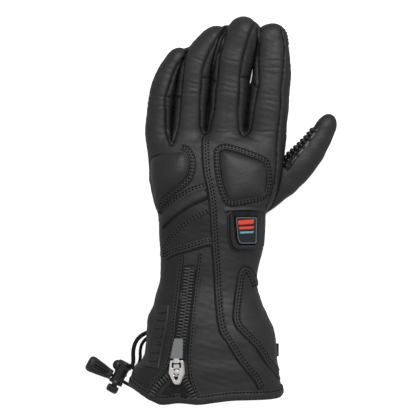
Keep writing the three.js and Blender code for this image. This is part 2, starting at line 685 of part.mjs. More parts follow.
// Zip tape, its chain, which parts below the slider, the slider and its pull
function addZip() {
  const tape = onSkin(ribbon(smoothLine(cuffPaths.zipTape.map(onCuff), 12), zipTapeWidth), zipTapeThickness);
  add("zip_tape", tape, tapeCloth);
  const chainLift = zipTapeThickness + seamGap;
  const [x, y] = onCuff(sliderMiddle);
  const frame = frameOn(x, y);
  const offSlider = plate(
    frame,
    spread(sliderOutline, [0, 0], sliderWidth + 2 * seamGap, sliderLength + 2 * seamGap),
    -beyond,
    beyond,
  );
  const chain = (path, width) =>
    onSkin(ribbon(smoothLine(path.map(onCuff), 8), width), chainThickness, chainLift);
  add("zip_chain", chain(cuffPaths.chain, chainWidth).subtract(offSlider), zipPlastic);
  add("zip_chain_left", chain(cuffPaths.leftChain, openChainWidth).subtract(offSlider), zipPlastic);
  add("zip_chain_right", chain(cuffPaths.rightChain, openChainWidth).subtract(offSlider), zipPlastic);

  const bottom = chainLift + 2 * seamGap;
  const hingeY = sliderLength / 2 - hingeInset;
  const sliderTop = bottom + sliderHeight;
  const pullBase = sliderTop - pullThickness;
  const hingeZ = pullBase + pullThickness / 2;
  const halfTongue = tongueWidth / 2;
  const notch = plate(
    frame,
    rectangle(-halfTongue - movingGap, halfTongue + movingGap, hingeY - hingeStandoff, sliderLength),
    bottom + sliderFloor,
    beyond,
  );
  const pin = (diameter, reach) => {
    const bar = new THREE.CylinderGeometry(diameter / 2, diameter / 2, 2 * reach, cordSides);
    return solidOf(bar.rotateZ(Math.PI / 2).translate(0, hingeY, hingeZ).applyMatrix4(frame));
  };
  const pinReach = halfTongue + earDepth;
  const block = plate(frame, spread(sliderOutline, [0, 0], sliderWidth, sliderLength), 0, sliderTop);
  const slider = block.subtract(notch).subtract(pin(hingePinDiameter + 2 * movingGap, pinReach + movingGap));
  add("zip_slider", slider.subtract(skinGrown(chainLift + seamGap)), chrome);
  const grip = spread(pullOutline, [0, hingeY + hingeStandoff + pullLength / 2], pullWidth, pullLength);
  const [tongueStart, tongueEnd] = [hingeY - pullThickness / 2, hingeY + hingeStandoff + tongueOverlap];
  const tongue = rectangle(-halfTongue, halfTongue, tongueStart, tongueEnd);
  const pull = plate(frame, grip, pullBase, pullBase + pullThickness)
    .add(plate(frame, tongue, pullBase, pullBase + pullThickness))
    .add(pin(hingePinDiameter, pinReach));
  add("zip_pull", pull.subtract(skinGrown(chainLift + seamGap + chainThickness + seamGap)), pullRubber);
}

// Ribbed strip, hem binding and side tab of the cuff
function addCuffTrim() {
  const path = cuffPaths.ribbedStrip.map(onCuff);
  const line = smoothLine(path, 2 * ribCount + 1);
  const ribs = Array.from({ length: ribCount }, (_, i) => {
    const at = line.slice(2 * i + 1, 2 * i + 3);
    return onSkin(ribbon(at, stripWidth - 2 * padBevel), stripThickness + ribHeight);
  });
  add("ribbed_strip", unite([onSkin(ribbon(path, stripWidth), stripThickness), ...ribs]), backLeather);
  const grow = seamGap + leather;
  const outer = body({ grow, floor: 0, from: hemY - hemOverhang, to: hemY + hemWidth });
  const skin = body({ grow: seamGap, from: hemY - seamGap, to: hemY + 2 * hemWidth });
  const mouth = body({ grow: -wall, floor: wall, from: hemY - hemWidth, to: hemY + hemWidth });
  add("hem_binding", outer.subtract(skin).subtract(mouth), backLeather);
  const [, tabY] = onCuff([0, sideTabAlong]);
  const tabLayer = skinGrown(seamGap + sideTabReach).subtract(skinGrown(seamGap));
  const tabZ = cuffMid(tabY);
  const box = slab(tabY - sideTabWidth / 2, tabY + sideTabWidth / 2, tabZ - sideTabWidth, tabZ - 1, 0);
  add("side_tab", tabLayer.intersect(box), sideCloth);
}

// Patches on the sides of digits, from one share of the length to another
function addPatches() {
  const patch = (name, from, to, side, near) => {
    const grown = (grow) => digitSolid(name, { grow });
    const digit = digits[name];
    const edge = (share) => [0, 0.33, 0.67, 1].map((q) => {
      const { x, y, heading } = spineAt(digit, lerp(from, to, q));
      const reach = (side * share * digit.width) / 2;
      return [x + reach * Math.cos(heading), y - reach * Math.sin(heading)];
    });
    const outline = [...edge(near), ...edge(1.4).reverse()];
    return grown(seamGap + leather).subtract(grown(seamGap)).intersect(prism(outline, seamGap, beyond));
  };
  const offHand = skinGrown(2 * seamGap);
  add("thumb_grip", patch("thumb", 0.36, 0.84, -1, 0.45).subtract(offHand), gripRubber);
  add("index_tip_patch", patch("index", 0.8, 0.97, 1, 0.6), gripRubber);
}

// Drawcords, their lock with its plunger, and the bell on the cord's end
function addDrawcord() {
  const [r, collar, stem, head] = [lockDiameter, lockCollarDiameter, plungerStemDiameter, plungerHeadDiameter]
    .map((diameter) => diameter / 2);
  const lockShape = (grow) => [
    [0, -grow], [collar - edgeBevel + grow, -grow], [collar + grow, edgeBevel - grow],
    [collar + grow, lockCollarLength + grow], [r + grow, lockCollarLength + lockTaper + grow],
    [r + grow, lockLength - lockRimLength - lockRim], [r + lockRim + grow, lockLength - lockRimLength],
    [r + lockRim + grow, lockLength + grow],
  ];
  const bore = [
    [stem + movingGap, lockLength], [stem + movingGap, lockLength - plungerDepth],
    [0, lockLength - plungerDepth],
  ];
  const knob = (grow) => solidOf(
    new THREE.SphereGeometry(knobDiameter / 2 + grow, turnedSides, turnedSides / 2).translate(...knobPlace),
  );
  const tail = (diameter, extend = 0) => tube(tailCordRoute, diameter, extend);
  const lock = turned([...lockShape(0), ...bore], lockTop, lockHeading).add(knob(0));
  const lockClear = turned([...lockShape(seamGap), [0, lockLength + seamGap]], lockTop, lockHeading)
    .add(knob(seamGap));
  add("cord_lock", lock.subtract(tail(innerCordDiameter + 2 * seamGap)), moulding);
  const headStart = lockLength + plungerTravel + movingGap;
  const stemStart = lockLength - plungerDepth + plungerTravel + movingGap;
  add("lock_plunger", turned([
    [0, stemStart], [stem, stemStart], [stem, headStart], [head - edgeBevel, headStart],
    [head, headStart + edgeBevel], [head, headStart + plungerReach - edgeBevel],
    [head - edgeBevel, headStart + plungerReach], [0, headStart + plungerReach],
  ], lockTop, lockHeading), moulding);
  const [neck, mouth, hole] = [bellNeckDiameter, bellDiameter, innerCordDiameter + 2 * seamGap]
    .map((diameter) => diameter / 2);
  add("cord_bell", turned([
    [0, bellBoreDepth], [hole, bellBoreDepth], [hole, 0],
    ...bellProfile.map(({ flare, along }) => [lerp(neck, mouth, flare), along * bellLength]),
    [0, bellLength],
  ], bellNeck, bellHeading), moulding);
  const offGlove = skinGrown(seamGap + leather + seamGap);
  const cords = {
    drawcord_outer: tube(outerCordRoute, outerCordDiameter),
    drawcord_inner: tube(innerCordRoute, innerCordDiameter),
    drawcord_tail: tail(innerCordDiameter),
  };
  for (const [name, cord] of Object.entries(cords)) {
    const end = name === "drawcord_tail" ? cord : cord.subtract(lockClear);
    add(name, end.subtract(offGlove), cordCloth);
  }
}

addShell();
const offControl = addControl();
addBackPieces();
addZip();
addCuffTrim();
addPatches();
addDrawcord();

export default glove;
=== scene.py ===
"""Dresses a left-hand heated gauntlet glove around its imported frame.

The glove lies on its palm, in millimetres until a mesh is made: X to the thumb side, Y to the
fingertips and Z up from the palm to the back of the hand. Blender's objects are in metres.
"""

from __future__ import annotations

import logging
import math
import sys
from dataclasses import dataclass, field
from enum import Enum
from itertools import product
from typing import Callable, NamedTuple, Sequence

import bpy
import numpy as np
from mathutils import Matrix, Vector
from mathutils.bvhtree import BVHTree
from mathutils.geometry import tessellate_polygon
from mathutils.kdtree import KDTree

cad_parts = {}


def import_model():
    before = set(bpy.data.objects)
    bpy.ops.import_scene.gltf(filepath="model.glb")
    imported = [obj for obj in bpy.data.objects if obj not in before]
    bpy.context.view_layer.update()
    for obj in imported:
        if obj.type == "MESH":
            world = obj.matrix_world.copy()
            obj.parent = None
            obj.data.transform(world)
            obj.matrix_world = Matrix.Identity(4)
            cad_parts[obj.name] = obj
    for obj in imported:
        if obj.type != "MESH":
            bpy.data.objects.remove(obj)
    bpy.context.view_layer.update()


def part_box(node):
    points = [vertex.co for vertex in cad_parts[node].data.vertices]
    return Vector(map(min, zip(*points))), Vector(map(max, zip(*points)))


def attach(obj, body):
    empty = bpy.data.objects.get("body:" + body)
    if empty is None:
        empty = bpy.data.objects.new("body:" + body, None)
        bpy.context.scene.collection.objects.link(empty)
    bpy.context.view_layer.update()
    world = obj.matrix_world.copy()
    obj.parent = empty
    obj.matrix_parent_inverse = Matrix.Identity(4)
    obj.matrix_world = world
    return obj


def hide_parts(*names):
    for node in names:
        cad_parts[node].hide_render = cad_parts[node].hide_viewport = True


LOG = logging.getLogger("glove")
METRE = 0.001
CELL = 0.8
TINY = 1e-9
# Heights over and under the whole glove, where rays start, and the ways that they head
OVER, UNDER = 90.0, -20.0
DOWN, UP = (0, 0, -1.0), (0, 0, 1.0)

Points = Sequence[Sequence[float]]
Pair = tuple[float, float]
Place = tuple[float, float, float]
Profile = Sequence[Pair]
Array = np.ndarray
Material = bpy.types.Material
Socket = bpy.types.NodeSocket
Thing = bpy.types.Object


class Body(str, Enum):
    """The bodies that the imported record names."""

    GLOVE = "glove"
    BUTTON = "button"
    PULL = "pull"
    PLUNGER = "plunger"


# Plain tools for numbers and lines


def smooth_step(t: Array) -> Array:
    """Eases a share from 0 to 1."""
    t = np.clip(t, 0.0, 1.0)
    return t * t * (3 - 2 * t)


def smooth_min(a: Array, b: Array, width: float) -> Array:
    """The lower of two distances, rounded over a width where they are alike."""
    h = np.maximum(width - np.abs(a - b), 0.0) / width
    return np.minimum(a, b) - h * h * width / 4


def smooth_max(a: Array, b: Array, width: float) -> Array:
    """The higher of two distances, rounded over a width where they are alike."""
    return -smooth_min(-a, -b, width)


def mix(a: float | Array, b: float | Array, t: float | Array) -> float | Array:
    """A value between two others."""
    return a + (b - a) * t


def unit(rows: Array) -> Array:
    """The same directions, one to a row, each with a length of 1."""
    return rows / np.maximum(np.linalg.norm(rows, axis=1), TINY)[:, None]


def runs(line: Array) -> Array:
    """How far along a line each of its points is."""
    return np.concatenate([[0.0], np.cumsum(np.linalg.norm(np.diff(line, axis=0), axis=1))])


def read_off(at: Array, run: Array, rows: Array) -> Array:
    """Rows of numbers read off at places along a line."""
    return np.column_stack([np.interp(at, run, column) for column in rows.T])


def round_turn(count: int) -> Array:
    """Even angles all the way round, in radians."""
    return np.linspace(0, 2 * np.pi, count, endpoint=False)


def smooth_path(points: Points, step: float, closed: bool = False) -> Array:
    """A smooth line through points.

    Args:
        points: The points, in the plan or in space.
        step: How far apart the line's own points are, in millimetres.
        closed: Whether the line ends where it starts.

    Returns:
        The line's points, one row each.
    """
    p = np.asarray(points, float)
    if closed:
        ring = np.vstack([p[-1:], p, p[:2]])
        spans = len(p)
    else:
        ring = np.vstack([2 * p[:1] - p[1:2], p, 2 * p[-1:] - p[-2:-1]])
        spans = len(p) - 1
    steps_in_span = 12
    t = np.linspace(0, 1, steps_in_span, endpoint=False)[:, None]
    fine = []
    for i in range(spans):
        a, b, c, d = ring[i : i + 4]
        bend, twist = 2 * a - 5 * b + 4 * c - d, 3 * b - a - 3 * c + d
        fine.append(0.5 * (2 * b + (c - a) * t + bend * t**2 + twist * t**3))
    fine.append(p[:1] if closed else p[-1:])
    line = np.vstack(fine)
    run = runs(line)
    even = read_off(np.linspace(0, run[-1], max(2, round(run[-1] / step) + 1)), run, line)
    return even[:-1] if closed else even


def inside_outline(points: Array, outline: Array) -> Array:
    """Whether each plan point lies inside a closed outline."""
    x, y = points[:, 0], points[:, 1]
    inside = np.zeros(len(points), bool)
    for (x0, y0), (x1, y1) in zip(outline, np.roll(outline, -1, axis=0)):
        if y0 == y1:
            continue
        crosses = (y0 > y) != (y1 > y)
        inside ^= crosses & (x < x0 + (y - y0) * (x1 - x0) / (y1 - y0))
    return inside


class Near:
    """Finds how far points are from a set of samples."""

    def __init__(self, samples: Array) -> None:
        """Keeps the samples in a tree."""
        self.size = samples.shape[1]
        self.tree = KDTree(len(samples))
        for i, sample in enumerate(samples):
            self.tree.insert(self._space(sample), i)
        self.tree.balance()

    def _space(self, point: Array) -> Place:
        """A point with a third coordinate."""
        return (point[0], point[1], point[2] if self.size == 3 else 0.0)

    def distance(self, points: Array) -> Array:
        """How far each point is from the nearest sample."""
        find = self.tree.find
        return np.array([find(self._space(p))[2] for p in points])


class Line1D:
    """A smooth line through a short table, which never overshoots the table's values."""

    def __init__(self, at: Sequence[float], values: Sequence[float]) -> None:
        """Works out the slope at each row of the table."""
        self.at = np.asarray(at, float)
        self.values = np.asarray(values, float)
        gaps = np.diff(self.at)
        rises = np.diff(self.values) / gaps
        slopes = np.zeros(len(self.at))
        slopes[0], slopes[-1] = rises[0], rises[-1]
        same = rises[:-1] * rises[1:] > 0
        w0, w1 = 2 * gaps[1:] + gaps[:-1], gaps[1:] + 2 * gaps[:-1]
        with np.errstate(divide="ignore", invalid="ignore"):
            blended = (w0 + w1) / (w0 / rises[:-1] + w1 / rises[1:])
        slopes[1:-1] = np.where(same, blended, 0.0)
        self.slopes = slopes

    def __call__(self, x: Array) -> Array:
        """The value at each x, held level past the ends."""
        x = np.clip(x, self.at[0], self.at[-1])
        i = np.clip(np.searchsorted(self.at, x) - 1, 0, len(self.at) - 2)
        gap = self.at[i + 1] - self.at[i]
        t = (x - self.at[i]) / gap
        a, b = self.values[i], self.values[i + 1]
        m0, m1 = self.slopes[i] * gap, self.slopes[i + 1] * gap
        return (
            (2 * t**3 - 3 * t**2 + 1) * a
            + (t**3 - 2 * t**2 + t) * m0
            + (3 * t**2 - 2 * t**3) * b
            + (t**3 - t**2) * m1
        )


class Ripples:
    """Soft random folds, as waves that run within a few degrees of one heading."""

    waves = 14

    def __init__(self, seed: int, wavelength: float, heading: float, spread: float) -> None:
        """Draws the waves.

        Args:
            seed: Which set of folds.
            wavelength: From one fold to the next, in millimetres.
            heading: The way that the folds follow one another, in degrees from +X.
            spread: How far a wave may turn from that heading, in degrees.
        """
        draw = np.random.default_rng(seed)
        angle = np.radians(heading + draw.uniform(-spread, spread, self.waves))
        rate = 2 * np.pi / (wavelength * draw.uniform(0.7, 1.5, self.waves))
        self.kx, self.ky = rate * np.cos(angle), rate * np.sin(angle)
        self.phase = draw.uniform(0, 2 * np.pi, self.waves)

    def __call__(self, points: Array) -> Array:
        """The folds' height at each plan point, about -1 to 1."""
        total = sum(
            np.sin(kx * points[:, 0] + ky * points[:, 1] + phase)
            for kx, ky, phase in zip(self.kx, self.ky, self.phase)
        )
        return total / math.sqrt(2 * self.waves)


@dataclass(frozen=True)
class Plan:
    """How the photograph's pixels lie over the glove, seen from straight above."""

    mm_per_pixel: float = 0.83
    column_of_x0: float = 213.0
    row_of_y0: float = 201.0
    frame_pixels: int = 420

    def at(self, pixels: Points) -> Array:
        """Plan points in millimetres for points of the photograph."""
        p = np.asarray(pixels, float)
        return np.column_stack([p[:, 0] - self.column_of_x0, self.row_of_y0 - p[:, 1]]) * self.mm_per_pixel

    def across(self, pixels: Points) -> Callable[[Array], Array]:
        """The X of a line that runs up the glove, for any Y."""
        p = self.at(pixels)
        p = p[np.argsort(p[:, 1])]
        return lambda y: np.interp(y, p[:, 1], p[:, 0])


PLAN = Plan()


# Lines of the photograph, in its pixels, from the fingertips to the hem


class SeamLines:
    """Where the seams run, in pixels of the photograph."""

    gap_little_ring = (
        (189, 44), (186, 52), (180, 65), (177, 75), (174, 90), (172.5, 105), (172, 120), (171.3, 141),
    )
    gap_ring_middle = (
        (227, 22), (224, 30), (219, 38), (215, 50), (212, 62), (210, 75), (209, 90), (208, 105), (207, 118),
        (205.5, 127),
    )
    gap_middle_index = (
        (258, 14), (257, 28), (257, 45), (254, 60), (252, 75), (250, 85), (249, 95), (247, 110), (246, 120),
        (245, 130),
    )
    little_ring_left = (
        (188, 49), (186, 52), (181, 60), (176, 67), (172, 78), (168, 90), (166, 96), (165.5, 104),
        (166, 112), (166.5, 125), (168, 140),
    )
    little_ring_right = (
        (173, 143), (176, 133), (178, 125), (179.5, 110), (180.5, 97), (182, 80), (183, 70), (185, 58),
        (188, 50),
    )
    ring_middle_left = (
        (225, 26), (223, 30), (217, 38), (210, 50), (206, 60), (203, 70), (202, 80), (201, 95),
        (200.5, 110), (200.5, 125), (202, 130),
    )
    ring_middle_right = (
        (209, 130), (211, 122), (214, 108), (215, 92), (217, 80), (218, 65), (219.5, 52), (222, 42),
        (226, 31),
    )
    middle_index_left = (
        (255, 19), (251, 30), (248, 38), (245, 50), (242.5, 60), (241, 70), (240.5, 80), (239.5, 95),
        (238.5, 110), (239, 120), (240, 130),
    )
    middle_index_right = (
        (249, 131), (251, 125), (252.5, 115), (254, 105), (257, 92), (258.5, 82), (258, 60), (258, 50),
        (258.5, 40),
    )
    index_right = (
        (281, 27), (284, 38), (285, 50), (283.5, 70), (281.5, 92), (281, 105), (280, 118), (278, 132),
        (277, 145), (277, 160), (276, 172), (274.5, 184), (271.5, 194), (267.5, 203), (264, 211),
    )
    fork_little_ring = ((168, 140), (170.5, 145.5), (173, 143))
    fork_ring_middle = ((202, 130), (205, 134), (209, 130))
    fork_middle_index = ((240, 130), (244.5, 136), (249, 131))
    notches = ((188.5, 50), (225.5, 27.5), (257.5, 29))
    between_fingers = (
        (little_ring_left, little_ring_right, fork_little_ring),
        (ring_middle_left, ring_middle_right, fork_ring_middle),
        (middle_index_left, middle_index_right, fork_middle_index),
    )
    crosses = (
        ((166, 96), (170, 96.5), (172.8, 96.5)), ((174.6, 96.5), (177, 97), (180.5, 96)),
        ((202.3, 77), (206, 77.5), (209.4, 78)), ((211, 80.5), (214, 81), (217, 81)),
        ((240.7, 77), (246, 77), (250.8, 78)), ((253.2, 84), (256, 86), (258, 88)),
    )
    lower_pleat = (
        (207.5, 197), (200, 200), (190, 204.8), (180, 211), (170, 218.5), (163, 225.5), (161.5, 228),
    )
    wrist_seam = (
        (212, 244.5), (204, 246), (196, 248.5), (188, 251), (180, 253.2), (173, 255.5), (166, 259.5),
    )
    teardrop = (
        (279, 380), (275, 374), (269, 367), (264, 359.5), (260, 353), (255, 346), (248, 339), (241, 332),
        (236, 326), (233.2, 318), (233.5, 310), (234.5, 300), (236, 290), (237.2, 280), (238.6, 273),
        (241, 269), (245.5, 266.6), (249.5, 268), (253, 272.5), (256, 278.5), (258.5, 286),
    )
    zip_left_edge = (
        (183.6, 254.5), (182.4, 265), (181, 277), (179, 295), (176.5, 315), (174.7, 333), (172.6, 350),
        (169.5, 362), (165.5, 370.5), (161, 376.5), (157, 382), (153, 388.5), (151.5, 392),
    )


# Form of the hand, the cuff and the digits


class Row(NamedTuple):
    """A section of the hand or cuff, in shares of the named sizes."""

    along: float
    wide: float
    tall: float
    shift: float


@dataclass
class HandForm:
    """The hand and cuff, as a field that is below zero inside."""

    cuff_length: float = 103.0
    hand_length: float = 116.0
    fork_share: float = 0.472
    mouth_width: float = 126.0
    wrist_width: float = 80.5
    knuckle_width: float = 115.0
    mouth_height: float = 58.0
    wrist_height: float = 44.0
    knuckle_height: float = 38.0
    flattening: float = 3.0
    power: float = 2.5
    end_round: float = 9.0
    cuff_rows: tuple[Row, ...] = (
        Row(0.0, 1.0, 1.0, -0.062), Row(0.09, 1.0, 1.0, -0.072), Row(0.18, 0.93, 0.97, -0.082),
        Row(0.25, 0.86, 0.93, -0.066), Row(0.31, 0.71, 0.88, -0.036), Row(0.38, 0.64, 0.82, -0.016),
        Row(0.57, 0.54, 0.62, -0.024), Row(0.67, 0.42, 0.46, -0.05), Row(0.77, 0.2, 0.28, -0.052),
    )
    hand_rows: tuple[Row, ...] = (
        Row(0.0, 0.0, 0.0, -0.029), Row(0.22, 0.17, 0.0, -0.007), Row(0.43, 0.26, 0.0, -0.007),
        Row(0.52, 0.53, 0.1, 0.003), Row(0.66, 0.79, 0.38, 0.017), Row(0.86, 0.875, 1.1, 0.03),
        Row(1.01, 0.94, 2.4, 0.022),
    )
    # The hem's place along Y for a share of the half width, from the little finger's side
    hem_line: tuple[Pair, ...] = (
        (-1.0, -153.2), (-0.89, -157.9), (-0.75, -163.6), (-0.58, -167.2), (-0.36, -165.8), (-0.12, -167.0),
        (0.11, -165.3), (0.37, -163.6), (0.765, -163.2), (0.96, -162.0), (1.0, -159.5),
    )

    def __post_init__(self) -> None:
        """Turns the tables into smooth lines along Y."""
        self.forks = self.fork_share * self.hand_length
        self.wrist = self.forks - self.hand_length
        self.hem = self.wrist - self.cuff_length
        parts = (
            (self.cuff_rows, self.hem, self.cuff_length, self.mouth_width, self.mouth_height,
             self.wrist_width),
            (self.hand_rows, self.wrist, self.hand_length, self.knuckle_width, self.knuckle_height,
             self.knuckle_width),
        )
        sections = [
            (
                start + r.along * length,
                mix(self.wrist_width, width, r.wide) / 2,
                mix(self.wrist_height, height, r.tall),
                r.shift * shift_of,
            )
            for rows, start, length, width, height, shift_of in parts
            for r in rows
        ]
        y, half, top, shift = np.array(sections).T
        self.end = y[-1]
        self.half_width, self.top, self.middle = Line1D(y, half), Line1D(y, top), Line1D(y, shift)
        self.hem_at = Line1D(*zip(*self.hem_line))

    def field(self, x: Array, y: Array, z: Array) -> Array:
        """Roughly how far points are outside the hand and cuff, before the hem is cut."""
        half, top, middle = self.half_width(y), self.top(y), self.middle(y)
        deep = (top + self.flattening) / 2
        u = np.abs(x - middle) / half
        w = np.abs(z - (top - self.flattening) / 2) / deep
        out = superellipse([(u, half), (w, deep)], self.power)
        return smooth_max(out, y - self.end, self.end_round)

    def hem_field(self, x: Array, y: Array) -> Array:
        """How far plan points are past the hem."""
        share = (x - self.middle(y)) / self.half_width(y)
        return self.hem_at(np.clip(share, -1, 1)) - y


def superellipse(terms: Sequence[tuple[Array, Array | float]], power: float) -> Array:
    """The rough distance outside a superellipse.

    Args:
        terms: For each axis, the place as a share of its radius, and the radius.
        power: 2 for an ellipse, more for a squarer form.

    Returns:
        The distance, in the radii's units.
    """
    total = sum(share**power for share, _ in terms)
    value = np.maximum(total, 1e-6) ** (1 / power)
    slope = sum((share ** (power - 1) / radius) ** 2 for share, radius in terms)
    slope = np.sqrt(slope) * value ** (1 - power)
    least = 0.5 / np.maximum.reduce([np.broadcast_to(r, value.shape) for _, r in terms])
    return (value - 1) / np.maximum(slope, least)


@dataclass
class Digit:
    """A finger or thumb, as a field about its spine.

    root is where it leaves the hand, and lean holds the angles from +Y at the root, middle and tip.
    height holds the middle of the root and of the tip above the floor, as shares of the thickness.
    """

    length: float
    width: float
    thickness: float
    root: Pair
    lean: Place
    height: Pair
    tip_share: float
    power: float = 2.2
    tip_round: float = 13.0
    embed: float = 30.0
    embed_share: float = 0.78
    root_start: float = 0.0
    taper_start: float = 0.4
    creases: tuple[float, ...] = ()

    def __post_init__(self) -> None:
        """Lays out the spine's samples."""
        step, past_root, margin = 1.0, 8, 12
        t = np.arange(0, self.length + 2 * step, step) / self.length
        lean = np.radians(np.interp(t, [0, 0.5, 1], self.lean))
        middle = (lean[:-1] + lean[1:]) / 2
        x = self.root[0] + np.concatenate([[0], np.cumsum(np.sin(middle) * step)])
        y = self.root[1] + np.concatenate([[0], np.cumsum(np.cos(middle) * step)])
        back = np.arange(-self.embed - past_root, 0, step)
        self.t = np.concatenate([back / self.length, t])
        self.heading = np.concatenate([np.full(len(back), lean[0]), lean])
        self.x = np.concatenate([self.root[0] + back * math.sin(lean[0]), x])
        self.y = np.concatenate([self.root[1] + back * math.cos(lean[0]), y])
        reach = self.width / 2 + margin
        self.low = (self.x.min() - reach, self.y.min() - reach)
        self.high = (self.x.max() + reach, self.y.max() + reach)

    def near(self, x: Array, y: Array) -> Array:
        """Which plan points are near enough for the digit to matter."""
        return (x > self.low[0]) & (x < self.high[0]) & (y > self.low[1]) & (y < self.high[1])

    def place(self, x: Array, y: Array) -> tuple[Array, Array]:
        """Where plan points are along the spine, in lengths, and across it, in millimetres."""
        x, y = np.broadcast_arrays(x, y)
        along, across = np.empty(x.size), np.empty(x.size)
        flat_x, flat_y = x.ravel(), y.ravel()
        batch = 40000
        for start in range(0, x.size, batch):
            part = slice(start, start + batch)
            dx = flat_x[part, None] - self.x
            dy = flat_y[part, None] - self.y
            i = np.argmin(dx * dx + dy * dy, axis=1)
            rows = np.arange(len(i))
            dx, dy = dx[rows, i], dy[rows, i]
            sin, cos = np.sin(self.heading[i]), np.cos(self.heading[i])
            along[part] = self.t[i] + (dx * sin + dy * cos) / self.length
            across[part] = dx * cos - dy * sin
        return along.reshape(x.shape), across.reshape(x.shape)

    def radii(self, t: Array) -> tuple[Array, Array]:
        """Half width and half thickness at places along the spine."""
        narrow = mix(1.0, self.tip_share, smooth_step((t - self.taper_start) / (1 - self.taper_start)))
        rooted = mix(1.0, self.embed_share, np.clip((self.root_start - t) * self.length / self.embed, 0, 1))
        share = rooted * narrow
        return share * self.width / 2, share * self.thickness / 2

    def field(self, x: Array, y: Array, z: Array) -> Array:
        """Roughly how far points are outside the digit."""
        t, across = self.place(x, y)
        half, deep = self.radii(t)
        middle = mix(*self.height, np.clip(t, 0, 1)) * self.thickness
        tip = np.maximum(t * self.length - (self.length - self.tip_round), 0) / self.tip_round
        terms = [(np.abs(across) / half, half), (np.abs(z - middle) / deep, deep), (tip, self.tip_round)]
        out = superellipse(terms, self.power)
        return smooth_max(out, -t * self.length - self.embed, 4)


@dataclass
class GloveForm:
    """The whole glove's form: hand, cuff and fingers in one field, and the thumb in another."""

    hand: HandForm = field(default_factory=HandForm)
    wall: float = 3.0
    gap: float = 1.1
    gap_floor: float = 11.0
    # Where the gap by the index finger goes right through: past an X, and within a reach of a Y
    slit: Place = (20.0, 105.5, 7.0)
    # Where the fingers touch: how near their gap, at what height, and how far over and under it
    touch: Place = (3.0, 7.0, 3.0)
    web: float = 5.0
    edge_round: float = 1.2
    far: float = 60.0
    thickness: float = 27.0
    cavity_end: float = -48.0

    def __post_init__(self) -> None:
        """Places the digits on the hand."""
        wide, long = self.hand.knuckle_width, self.hand.hand_length

        def root(across: float, along: float) -> Pair:
            """A plan point from shares of the hand's sizes."""
            return (across * wide, along * long)

        thick = self.thickness
        self.fingers = {
            "index": Digit(94, 33.6, thick, root(0.386, 0.472), (4, 6, -9), (0.57, 0.41), 0.76,
                           creases=(0.03, 0.3, 0.36, 0.6, 0.66)),
            "middle": Digit(100.5, 32, thick, root(0.092, 0.472), (4.5, 6, 42), (0.58, 0.44), 0.97,
                            creases=(0.02, 0.35, 0.4, 0.62)),
            "ring": Digit(96.5, 28, thick, root(-0.178, 0.472), (4, 8, 64), (0.57, 0.41), 0.88,
                          creases=(0.36, 0.4, 0.45, 0.66)),
            "little": Digit(85, 21.6, 0.86 * thick, root(-0.4, 0.4), (1, 9, 45), (0.6, 0.44), 0.82,
                            embed_share=0.5, root_start=0.12, creases=(0.38, 0.43, 0.48)),
        }
        self.thumb = Digit(
            95.2, 27, 25, root(0.354, -0.013), (46, 43, 21), (0.54, 0.46), 0.61, embed_share=0.7,
            root_start=0.3,
        )
        seams = SeamLines
        lines = (seams.gap_little_ring, seams.gap_ring_middle, seams.gap_middle_index)
        self.gaps = [
            (PLAN.across(line), PLAN.at(line)[:, 1].min(), PLAN.at([notch])[0, 1])
            for line, notch in zip(lines, seams.notches)
        ]

    def gap_distance(self, x: Array, y: Array) -> Array:
        """How far plan points are from the lines between the fingers."""
        nearest = None
        for across, fork, notch in self.gaps:
            slope = (across(y + 1.0) - across(y - 1.0)) / 2.0
            aside = (x - across(y)) / np.sqrt(1 + slope * slope)
            away = np.hypot(aside, np.maximum(np.maximum(fork - y, y - notch), 0))
            nearest = away if nearest is None else np.minimum(nearest, away)
        return nearest

    def join(self, body: Array, digits: Array, x: Array, y: Array, z: Array) -> Array:
        """Joins the fingers to the hand, parts them, cuts the hem and opens the cuff."""
        gap = self.gap_distance(x, y)
        near, level, reach = self.touch
        touching = np.maximum(gap - near, np.abs(z - level) - reach)
        out = smooth_min(smooth_min(body, digits, self.web), touching, 2.0)
        slit = np.where(x > self.slit[0], self.slit[2] - np.abs(y - self.slit[1]), -z)
        parted = np.minimum(self.gap / 2 - gap, np.maximum(z - self.gap_floor, slit))
        out = smooth_max(out, parted, 1.5)
        hollow = np.maximum(np.maximum(body + self.wall, self.wall - z), y - self.cavity_end)
        out = np.maximum(np.maximum(out, self.hand.hem_field(x, y)), -hollow)
        return smooth_max(out, -z, self.edge_round)

    def field(self, p: Array) -> Array:
        """How far points are outside the hand, cuff and fingers."""
        x, y, z = p.T
        digits = np.full(len(p), self.far)
        for digit in self.fingers.values():
            near = digit.near(x, y)
            digits[near] = np.minimum(digits[near], digit.field(x[near], y[near], z[near]))
        return self.join(self.hand.field(x, y, z), digits, x, y, z)

    def grid(self, x: Array, y: Array, z: Array) -> Array:
        """The same field on a grid, from the grid's three axes."""
        gx, gy, gz = x[:, None, None], y[None, :, None], z[None, None, :]
        digits = np.full((len(x), len(y), len(z)), self.far)
        for digit in self.fingers.values():
            i0, i1 = np.searchsorted(x, [digit.low[0], digit.high[0]])
            j0, j1 = np.searchsorted(y, [digit.low[1], digit.high[1]])
            block = (slice(i0, i1), slice(j0, j1))
            part = digit.field(gx[i0:i1], gy[:, j0:j1], gz)
            digits[block] = np.minimum(digits[block], part)
        return self.join(self.hand.field(gx, gy, gz), digits, gx, gy, gz)

    def thumb_field(self, p: Array) -> Array:
        """How far points are outside the thumb, which starts under the hand's edge."""
        x, y, z = p.T
        out = smooth_max(self.thumb.field(x, y, z), 0.4 - self.hand.field(x, y, z), 1.0)
        return smooth_max(out, 0.6 - z, self.edge_round)


# Meshes


